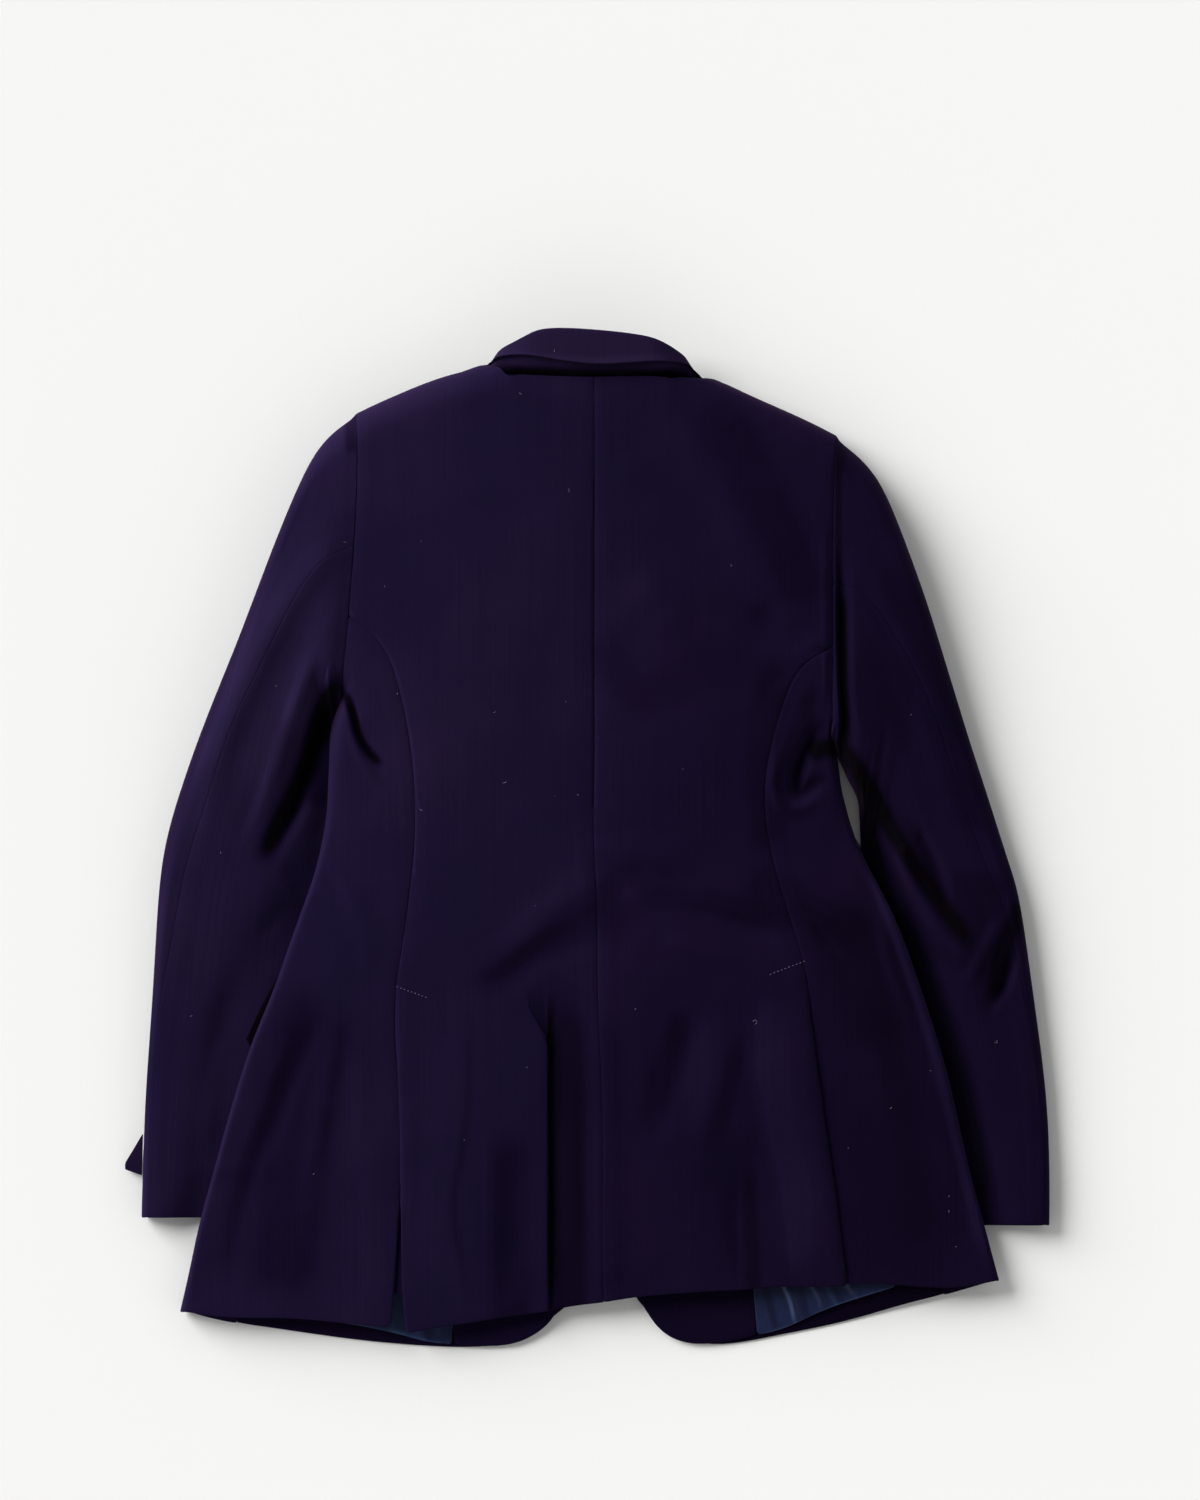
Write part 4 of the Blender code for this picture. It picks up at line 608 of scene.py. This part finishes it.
# Name: divisions, material, grain line, flat width and length as estimated, flat area, and what it lies on.
CLOTH = {
    "front_left": (2, WOOL, BODY_GRAIN, (0.292, 0.770), 0.139, ["paper"]),
    "front_right": (2, WOOL, BODY_GRAIN, (0.290, 0.760), 0.135, ["paper"]),
    "lapel_left": (2, WOOL, BODY_GRAIN, (0.130, 0.290), 0.0133, ["paper"]),
    "lapel_right": (2, WOOL, BODY_GRAIN, (0.136, 0.320), 0.0146, ["paper"]),
    "facing_left": (2, WOOL, BODY_GRAIN, (0.090, 0.064), 0.0049, ["front_left"]),
    "facing_right": (2, WOOL, BODY_GRAIN, (0.096, 0.064), 0.0050, ["front_right"]),
    "lining_left": (4, SATIN, BODY_GRAIN, (0.100, 0.064), 0.0050, ["front_left"]),
    "lining_right": (4, SATIN, BODY_GRAIN, (0.114, 0.060), 0.0039, ["front_right"]),
    "pocket_flap_left": (2, WOOL, BODY_GRAIN, (0.124, 0.046), 0.0053, ["paper"]),
    "pocket_flap_right": (2, WOOL, BODY_GRAIN, (0.092, 0.042), 0.0036, ["paper"]),
    "under_sleeve_left": (3, WOOL, LEFT_SLEEVE_GRAIN, (0.185, 0.560), 0.0693, ["paper"]),
    "under_sleeve_right": (3, WOOL, RIGHT_SLEEVE_GRAIN, (0.180, 0.545), 0.0656, ["paper"]),
    "top_sleeve_left": (3, WOOL, LEFT_SLEEVE_GRAIN, (0.190, 0.640), 0.0714, ["under_sleeve_left"]),
    "top_sleeve_right": (3, WOOL, RIGHT_SLEEVE_GRAIN, (0.185, 0.630), 0.0680, ["under_sleeve_right"]),
    "cuff_corner_left": (2, WOOL, LEFT_SLEEVE_GRAIN, (0.016, 0.034), 0.0003, ["top_sleeve_left"]),
    "vent_underlap_left": (2, WOOL, BODY_GRAIN, (0.046, 0.237), 0.0102, ["front_left"]),
    "vent_underlap_right": (2, WOOL, BODY_GRAIN, (0.046, 0.235), 0.0101, ["front_right"]),
    "side_left": (3, WOOL, BODY_GRAIN, (0.228, 0.560), 0.0799, ["front_left"]),
    "side_right": (3, WOOL, BODY_GRAIN, (0.178, 0.510), 0.0638, ["front_right"]),
    "back_left": (3, WOOL, BODY_GRAIN, (0.216, 0.765), 0.1252, ["front_left", "side_left"]),
    "back_right": (3, WOOL, BODY_GRAIN, (0.200, 0.730), 0.1197, ["front_right", "side_right"]),
    "collar": (3, COLLAR_WOOL, BODY_GRAIN, (0.450, 0.046), 0.0157, ["back_left", "back_right"]),
}
shells = {name: soft_mesh(name, row[0]) for name, row in CLOTH.items()}
print("faces of the shells:", sum(len(mesh.polygons) for mesh in shells.values()))

# %% [markdown]
# Some edges need a gentle pull sideways, as if by hand: the back's neck edge up under the collar, the
# collar's own neck edge down and under the back, the sleeves and the sides of the body towards each other
# under the arms, and the right flap a little outwards. Each pull follows a line and fades out beside it.

# %% List the pulls
# Pieces, width beside the line, the highest place it works at, the move in x, y and z, and the points it
# follows.
PULLS = (
    (("back_left", "back_right"), 16, 40, (0, 3.6, -1.2),
     (-110, 352), (-60, 357), (5, 356), (60, 356), (110, 345)),
    (("back_left",), 14, 40, (6, 3.5, 0), (-104, 366), (-84, 366), (-62, 356)),
    (("back_right",), 14, 40, (-4, 2.5, 0), (62, 352), (92, 358), (112, 354)),
    (("collar",), 12, 32, (0, -4.5, -13), (-112, 362), (-66, 361), (5, 356), (66, 359), (112, 356)),
    (("collar",), 16, 40, (7, -3.5, -3), (-108, 346), (-90, 372), (-70, 392)),
    (("collar",), 16, 40, (-7, -3.5, -3), (116, 340), (98, 366), (78, 386)),
    (("top_sleeve_left", "under_sleeve_left"), 16, 40, (4.0, 0, 0),
     (-194, 124), (-201, 84), (-200, 50), (-194, 14)),
    (("side_left",), 9, 40, (-1.4, 0, 0), (-194, 124), (-199, 84), (-199, 50), (-203, 10)),
    (("top_sleeve_right", "under_sleeve_right"), 22, 40, (-5.5, 0, 0),
     (194, 96), (198, 74), (207, 52), (212, 26)),
    (("side_right",), 9, 40, (1.2, 0, 0), (193, 96), (195, 74), (195, 56), (198, 36)),
    (("pocket_flap_right",), 20, 40, (1.8, 0.8, 0), (208, 0), (222, -26), (242, -58)),
)
# A pull fades out over this much below its highest place.
PULL_FADE = 3
# Pieces whose cloth is smoothed once it is pulled: x, y and radius of the place, and the number of passes.
SMOOTHED = {"under_sleeve_right": (226, 26, 40, 16), "under_sleeve_left": (-210, 60, 40, 8)}


def pull(name, points):
    """How far each point of a piece is pulled."""
    moves = np.zeros((len(points), 3))
    for names, width, highest, move, *line in PULLS:
        if name in names:
            rise = crease_height([("", width, width, 1.0, *line)], points[:, 0], points[:, 1])
            rise *= smooth_step((highest - points[:, 2]) / PULL_FADE)
            moves += rise[:, None] * np.array(move)
    return moves


def smooth_place(mesh, x, y, radius, passes):
    """Evens out the cloth around a place."""
    bm = bmesh.new()
    bm.from_mesh(mesh)
    near = [v for v in bm.verts if hypot(v.co.x / MM - x, v.co.y / MM - y) < radius]
    for _ in range(passes):
        bmesh.ops.smooth_vert(
            bm, verts=near, factor=0.5, use_axis_x=True, use_axis_y=True, use_axis_z=True,
        )
    bm.to_mesh(mesh)
    bm.free()


print("pulls:", len(PULLS))

# %% [markdown]
# Where two panels are sewn together, the seam is pressed open: a narrow groove with the edges rolled into
# it, and beyond it the faint step of the seam allowance beneath. A seam is found where the rims of two
# panels meet, so the groove always runs exactly along it.

# %% Press the seams and lay the creases
ON_RIM = 0.999
SEAM_REACH = 1.8
# Depth and half width of the groove, and its depth on a sleeve.
GROOVE = (0.45, 1.3)
SLEEVE_GROOVE = 0.15
# Height of the seam allowance's step, its distance from the seam and its half width.
ALLOWANCE = (0.22, 9.0, 4.0)
# Share of the way to the neighbour that a seam's edge moves, how wide that works, and where it ends.
CLOSING = (0.42, 2.2, 6.0)
NEIGHBOURS = 8
# Fineness and height of the gentle swells, and the level at which their noise is read.
SWELL = ((0.016, 1.3), (0.045, 0.35))
SWELL_LEVEL = 1.7
# Cloth below LYING is the under side, and cloth above LIFTED is the upper side.
LYING = 3.0
LIFTED = 13.0


def rim_points(name):
    """Places along the edges of a piece."""
    mesh = shells[name]
    rim = np.empty(len(mesh.vertices), np.float32)
    mesh.attributes["rim"].data.foreach_get("value", rim)
    return get_points(mesh)[rim > ON_RIM]


def tree_of(points):
    """A search tree of places."""
    tree = KDTree(len(points))
    for number, point in enumerate(points):
        tree.insert(point, number)
    tree.balance()
    return tree


rims = {name: rim_points(name) for name in shells}


def sewn_rim(name):
    """The places of a piece's rim that meet another piece, and the way from each to that piece."""
    others = tree_of(np.concatenate([rims[other] for other in rims if other != name]))
    places = []
    ways = []
    for point in rims[name]:
        met, _, far = others.find(point)
        if far < SEAM_REACH:
            places.append(point)
            ways.append(np.array(met) - point)
    return places, np.array(ways)


def press(name):
    """Closes the seams of one shell, and moves its upper cloth to seam grooves, creases and gentle swells."""
    mesh = shells[name]
    points = get_points(mesh)
    x = points[:, 0]
    y = points[:, 1]
    upper = smooth_step((points[:, 2] - LYING) / (LIFTED - LYING))
    under_lift = (1 - upper) * crease_height(UNDER_CREASES, x, y)
    if "lining" in name:
        under_lift += crease_height(LINING_CREASES, x, y)
    lift = crease_height(CREASES, x, y)
    for scale, size in SWELL:
        lift += size * np.array([noise.noise((a * scale, b * scale, SWELL_LEVEL)) for a, b in zip(x, y)])
    places, ways = sewn_rim(name)
    moves = np.zeros((len(points), 3))
    if places:
        seams = tree_of(places)
        far = np.array([seams.find(point)[2] for point in points])
        lift += ALLOWANCE[0] * np.exp(-((far - ALLOWANCE[1]) / ALLOWANCE[2]) ** 2)
        depth = SLEEVE_GROOVE if "sleeve" in name else GROOVE[0]
        lift -= depth * np.exp(-(far / GROOVE[1]) ** 2)
        share, reach, end = CLOSING
        for number in np.flatnonzero(far < end):
            nearby = [found[1] for found in seams.find_n(points[number], NEIGHBOURS)]
            moves[number] = share * ways[nearby].mean(axis=0) * np.exp(-(far[number] / reach) ** 2)
    points[:, 2] += upper * lift + under_lift
    points += moves + pull(name, points)
    points[:, 2] = np.maximum(points[:, 2], 0)
    set_points(mesh, points)
    if name in SMOOTHED:
        smooth_place(mesh, *SMOOTHED[name])


for name in shells:
    press(name)
print("pressed", len(shells), "pieces")

# %% [markdown]
# The UV map of each piece runs along its grain: V along the line of the grain and U across it, both in
# metres. The weave then has one scale on every piece, and turns with the sleeves.

# %% Dress the pieces and place them
def set_grain(mesh, grain):
    """Writes the UV map of a mesh along the line of its grain."""
    points = get_points(mesh)
    side, place, _ = beside_line(smooth_line(grain), points[:, 0], points[:, 1])
    corner = np.empty(len(mesh.loops), np.int32)
    mesh.loops.foreach_get("vertex_index", corner)
    uv = np.stack([side, place], axis=1)[corner] * MM
    layer = mesh.uv_layers.new(name="grain")
    layer.data.foreach_set("uv", uv.astype(np.float32).ravel())


def set_painted_shading(mesh, name, side_light):
    """Writes the painted light and shade of each place as a colour attribute. side_light is the share of the
    painted changes along X and Y.
    """
    points = get_points(mesh)
    x = points[:, 0]
    y = points[:, 1]
    painted_shading = (np.interp(x, *PAINTED_SIDE_LIGHT) * np.interp(y, *PAINTED_HEIGHT_LIGHT)) ** side_light
    painted_shading *= PIECE_LIGHT.get(name, 1.0)
    for where, label, left, right, lost, *line in PAINTED_SHADES_AND_HIGHLIGHTS:
        if where in name:
            depth = CORE * crease_height([(label, left, right, 1.0, *line)], x, y, SHADE_TAPER)
            painted_shading *= 1 - lost * np.minimum(depth, 1)
    colour = np.stack([painted_shading ** power for power in PAINTED_SHADING_POWERS] + [np.ones(len(painted_shading))], axis=1)
    attribute = mesh.attributes.new("painted_shading", "FLOAT_COLOR", "POINT")
    attribute.data.foreach_set("color", colour.astype(np.float32).ravel())


# Share of the painted light along X and Y that each material takes: all on the wool, some on the collar, none
# on the satin.
LIGHT_SHARE = {WOOL: 1.0, COLLAR_WOOL: 0.3, SATIN: 0.0}

pieces = {}
for name, (_, material, grain, flat, area, under) in CLOTH.items():
    mesh = shells[name]
    mesh.name = name + "_cloth"
    set_grain(mesh, grain)
    # Light and shade are painted into the colour attribute here.
    set_painted_shading(mesh, name, LIGHT_SHARE[material])
    mesh.materials.clear()
    mesh.materials.append(material)
    mesh.shade_smooth()
    piece = bpy.data.objects.new(name + "_cloth", mesh)
    scene.collection.objects.link(piece)
    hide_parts(name)
    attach(piece, "root")
    pieces[name] = piece
print("pieces:", len(pieces))

# %% [markdown]
# The front button lies underneath, between the fronts and the surface, with its face down. It doesn't show
# in the photograph, so it is a usual one: a round edge, a raised rim and a dished middle. Half of its
# outline is spun round its axis. The material has the faint swirls of dark horn under a polished surface.

# %% Turn the button
BUTTON_CENTRE = (2.85, -52.2)
BUTTON_STEPS = 64
# Radius and height of the outline, from the middle of the face, which is down, to the middle of the back.
BUTTON_OUTLINE = (
    (0, 0.62), (3.4, 0.62), (6.6, 0.55), (8.0, 0.28), (8.9, 0.05), (9.6, 0.10), (10.2, 0.55), (10.45, 1.25),
    (10.1, 1.95), (9.2, 2.4), (7.0, 2.55), (0, 2.55),
)
button_material = bpy.data.materials.new("button")
button_material.use_nodes = True
button_tree = button_material.node_tree
button_shader = button_tree.nodes["Principled BSDF"]
button_shader.inputs["Roughness"].default_value = 0.24
swirl_place = add_node(button_tree, "ShaderNodeTexCoord")
swirls = add_node(button_tree, "ShaderNodeTexNoise", Scale=160.0, Detail=4.0, Distortion=1.6)
horn = add_node(button_tree, "ShaderNodeValToRGB")
horn.color_ramp.elements[0].position = 0.35
horn.color_ramp.elements[0].color = (0.006, 0.005, 0.010, 1)
horn.color_ramp.elements[1].position = 0.75
horn.color_ramp.elements[1].color = (0.026, 0.022, 0.034, 1)
button_tree.links.new(swirl_place.outputs["Object"], swirls.inputs["Vector"])
button_tree.links.new(swirls.outputs["Fac"], horn.inputs["Fac"])
button_tree.links.new(horn.outputs["Color"], button_shader.inputs["Base Color"])

bm = bmesh.new()
outline = [bm.verts.new((radius * MM, 0, height * MM)) for radius, height in BUTTON_OUTLINE]
edges = [bm.edges.new(pair) for pair in zip(outline, outline[1:])]
bmesh.ops.spin(
    bm, geom=outline + edges, axis=(0, 0, 1), cent=(0, 0, 0), angle=2 * pi,
    steps=BUTTON_STEPS, use_merge=True,
)
bmesh.ops.remove_doubles(bm, verts=bm.verts, dist=WELD)
bmesh.ops.recalc_face_normals(bm, faces=bm.faces)
bmesh.ops.translate(bm, verts=bm.verts, vec=(BUTTON_CENTRE[0] * MM, BUTTON_CENTRE[1] * MM, 0))
button_mesh = bpy.data.meshes.new("button_turned")
bm.to_mesh(button_mesh)
bm.free()
button_mesh.shade_smooth()
button_mesh.materials.append(button_material)
button = bpy.data.objects.new("button_turned", button_mesh)
scene.collection.objects.link(button)
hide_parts("front_button")
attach(button, "root")
print("faces of the button:", len(button_mesh.polygons))

# %% [markdown]
# Small things lie on the cloth: the white tacking thread that still holds each vent shut, and the lint that
# dark wool gathers. Each is dropped straight down onto the finished shells, so that it rests on them
# wherever they rise or fall.

# %% Find the top of the cloth
bpy.context.view_layer.update()
depsgraph = bpy.context.evaluated_depsgraph_get()
# Metres above the paper, higher than any cloth.
ABOVE = 0.2


def top_of_cloth(x, y):
    """The highest place of the garment below a point, in millimetres."""
    start = Vector((x * MM, y * MM, ABOVE))
    _, place, _, _, _, _ = scene.ray_cast(depsgraph, start, Vector((0, 0, -1)))
    return place.z / MM


def plain_material(name, colour, roughness):
    """One matt colour with a little mottling."""
    material = bpy.data.materials.new(name)
    material.use_nodes = True
    tree = material.node_tree
    shader = tree.nodes["Principled BSDF"]
    shader.inputs["Roughness"].default_value = roughness
    place = add_node(tree, "ShaderNodeTexCoord")
    mottle = add_node(tree, "ShaderNodeTexNoise", Scale=900.0, Detail=2.0)
    ramp = add_node(tree, "ShaderNodeValToRGB")
    ramp.color_ramp.elements[0].color = (*[0.7 * c for c in colour], 1)
    ramp.color_ramp.elements[1].color = (*colour, 1)
    tree.links.new(place.outputs["Object"], mottle.inputs["Vector"])
    tree.links.new(mottle.outputs["Fac"], ramp.inputs["Fac"])
    tree.links.new(ramp.outputs["Color"], shader.inputs["Base Color"])
    return material


def thread_piece(name, strands, radius, material):
    """Round threads along lines of points, as one mesh."""
    curve = bpy.data.curves.new(name, "CURVE")
    curve.dimensions = "3D"
    curve.bevel_depth = radius * MM
    curve.bevel_resolution = 1
    curve.use_fill_caps = True
    for strand in strands:
        spline = curve.splines.new("POLY")
        spline.points.add(len(strand) - 1)
        for knot, (x, y, z) in zip(spline.points, strand):
            knot.co = (x * MM, y * MM, z * MM, 1)
    holder = bpy.data.objects.new(name + "_curve", curve)
    scene.collection.objects.link(holder)
    bpy.context.view_layer.update()
    mesh = bpy.data.meshes.new_from_object(holder.evaluated_get(bpy.context.evaluated_depsgraph_get()))
    bpy.data.objects.remove(holder)
    bpy.data.curves.remove(curve)
    mesh.materials.clear()
    mesh.materials.append(material)
    mesh.shade_smooth()
    piece = bpy.data.objects.new(name, mesh)
    scene.collection.objects.link(piece)
    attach(piece, "root")
    return piece


# %% [markdown]
# A tack is a row of short stitches across the top of the vent. Each stitch is a thread that comes up
# through the wool, lies on it for a millimetre and a half, and goes down again.

# %% Sew the tacks
TACKS = (
    ("left", (-148, -116), (-126, -124), 9),
    ("right", (169, -96), (143, -106), 10),
)
THREAD = 0.13
STITCH = 1.3
# How far a stitch stands above the wool, as a share of the thread's radius.
STITCH_RISE = 0.8
thread_white = plain_material("tacking_thread", (0.22, 0.20, 0.28), 0.8)
for side, (ax, ay), (bx, by), count in TACKS:
    stitches = []
    for number in range(count):
        share = number / (count - 1)
        x = ax + share * (bx - ax)
        y = ay + share * (by - ay)
        z = top_of_cloth(x, y)
        lean = STITCH / 2 / hypot(bx - ax, by - ay)
        half_x = lean * (bx - ax)
        half_y = lean * (by - ay)
        low = z - THREAD
        high = z + STITCH_RISE * THREAD
        stitches.append([
            (x - half_x, y - half_y, low), (x - 0.5 * half_x, y - 0.5 * half_y, high),
            (x + 0.5 * half_x, y + 0.5 * half_y, high), (x + half_x, y + half_y, low),
        ])
    thread_piece("tack_" + side, stitches, THREAD, thread_white)
print("tacks:", len(TACKS))

# %% [markdown]
# A pocket flap is bagged out with lining, and a thin roll of the satin shows along its edge. Only that roll
# catches light beside the body, because the flap itself lies in its shadow. Here it is a round piping that
# follows the flap's outline as seen from above. It is simplified: it lies on the sleeve, some millimetres
# from the flap, and not on the flap itself. Six threads hold the button, in two bars of three across its
# middle.

# %% Roll the edges of the flaps and sew the button
PIPING = 0.26
FLAP_EDGES = (
    ("left", 1.35,
     (-214, -58), (-228, -82), (-244, -111), (-258, -137), (-269, -157.5), (-269.6, -161.4), (-266, -164)),
    ("right", 1.35,
     (203.5, 9.5), (212, -5), (223, -23.5), (233, -40.5), (240.2, -52.6), (240.4, -55.8), (238, -58)),
)
for side, height, *edge in FLAP_EDGES:
    roll = [(x, y, height) for x, y in smooth_line(edge)]
    piping_satin = plain_material("piping_" + side, (0.016, 0.022, 0.07), 0.6)
    piping = thread_piece("flap_edge_" + side, [roll], PIPING, piping_satin)
# Half the length of a bar, the places of its threads across the button, and the levels of ends and middle.
BAR = 1.5
BAR_OFFSETS = (-1.5, -1.2, -0.9, 0.9, 1.2, 1.5)
BAR_END = 0.75
BAR_MIDDLE = 0.42
BAR_FLAT = 0.7 * BAR
button_threads = []
for offset in BAR_OFFSETS:
    x = BUTTON_CENTRE[0] + offset
    y = BUTTON_CENTRE[1]
    button_threads.append([
        (x, y - BAR, BAR_END), (x, y - BAR_FLAT, BAR_MIDDLE), (x, y + BAR_FLAT, BAR_MIDDLE),
        (x, y + BAR, BAR_END),
    ])
button_thread = plain_material("button_thread", (0.02, 0.014, 0.04), 0.8)
thread_piece("button_thread", button_threads, THREAD, button_thread)
print("threads of the button:", len(button_threads))

# %% [markdown]
# Lint is a scatter of tiny pale fibres, most of them short and nearly straight, a few curled. The places
# are those where the photograph shows them.

# %% Drop the lint
# Place, length, direction in degrees and curl in degrees over the length.
LINT = (
    (-53, 347, 2.4, -35, 20), (-15, 270, 3.0, 20, 160), (-148, 112, 1.4, 80, 10), (-131, 23, 3.2, -40, 30),
    (-73, 98, 1.8, 15, 30), (-66, 43, 3.0, 5, 40), (-17, 106, 1.2, 60, 10), (-8, 34, 1.6, -20, 20),
    (-48, -179, 1.6, 10, 20), (236, -211, 1.8, 30, 20), (282, -280, 1.4, 70, 0), (282, -292, 1.8, 80, 10),
    (287, -319, 1.2, 40, 0), (318, -159, 4.0, -60, 240), (-310, -139, 2.0, 10, 20), (-26, 379, 1.6, 60, 20),
    (-190, 231, 2.4, -15, 20), (-130, 231, 1.2, 50, 0), (-158, 197, 1.4, -70, 10), (-41, -53, 1.2, 30, 10),
    (37, -134, 1.8, 50, 20), (131, -145, 7.0, 30, 250), (267, -181, 1.6, -30, 20), (-26, 33, 1.0, 10, 0),
    (112, 212, 1.2, 60, 10), (-243, 118, 1.6, 50, 30), (74, 54, 1.0, 0, 0), (-96, -236, 1.2, 80, 10),
    (203, -242, 1.0, 20, 0), (-286, -12, 1.4, 70, 20), (252, 96, 1.2, 40, 10), (-214, -262, 1.4, 10, 20),
)
FIBRE = 0.11
FIBRE_STEPS = 6
fibres = []
for x, y, length, heading, curl in LINT:
    strand = []
    for step in range(FIBRE_STEPS + 1):
        angle = (heading + curl * step / FIBRE_STEPS) * pi / 180
        strand.append((x, y, top_of_cloth(x, y) + FIBRE))
        x += cos(angle) * length / FIBRE_STEPS
        y += sin(angle) * length / FIBRE_STEPS
    fibres.append(strand)
thread_piece("lint", fibres, FIBRE, plain_material("lint", (0.22, 0.21, 0.27), 0.9))
print("fibres of lint:", len(fibres))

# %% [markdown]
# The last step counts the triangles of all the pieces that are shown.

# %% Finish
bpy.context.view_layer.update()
triangles = sum(len(p.vertices) - 2 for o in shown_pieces() if o.type == "MESH" for p in o.data.polygons)
print("triangles:", triangles)
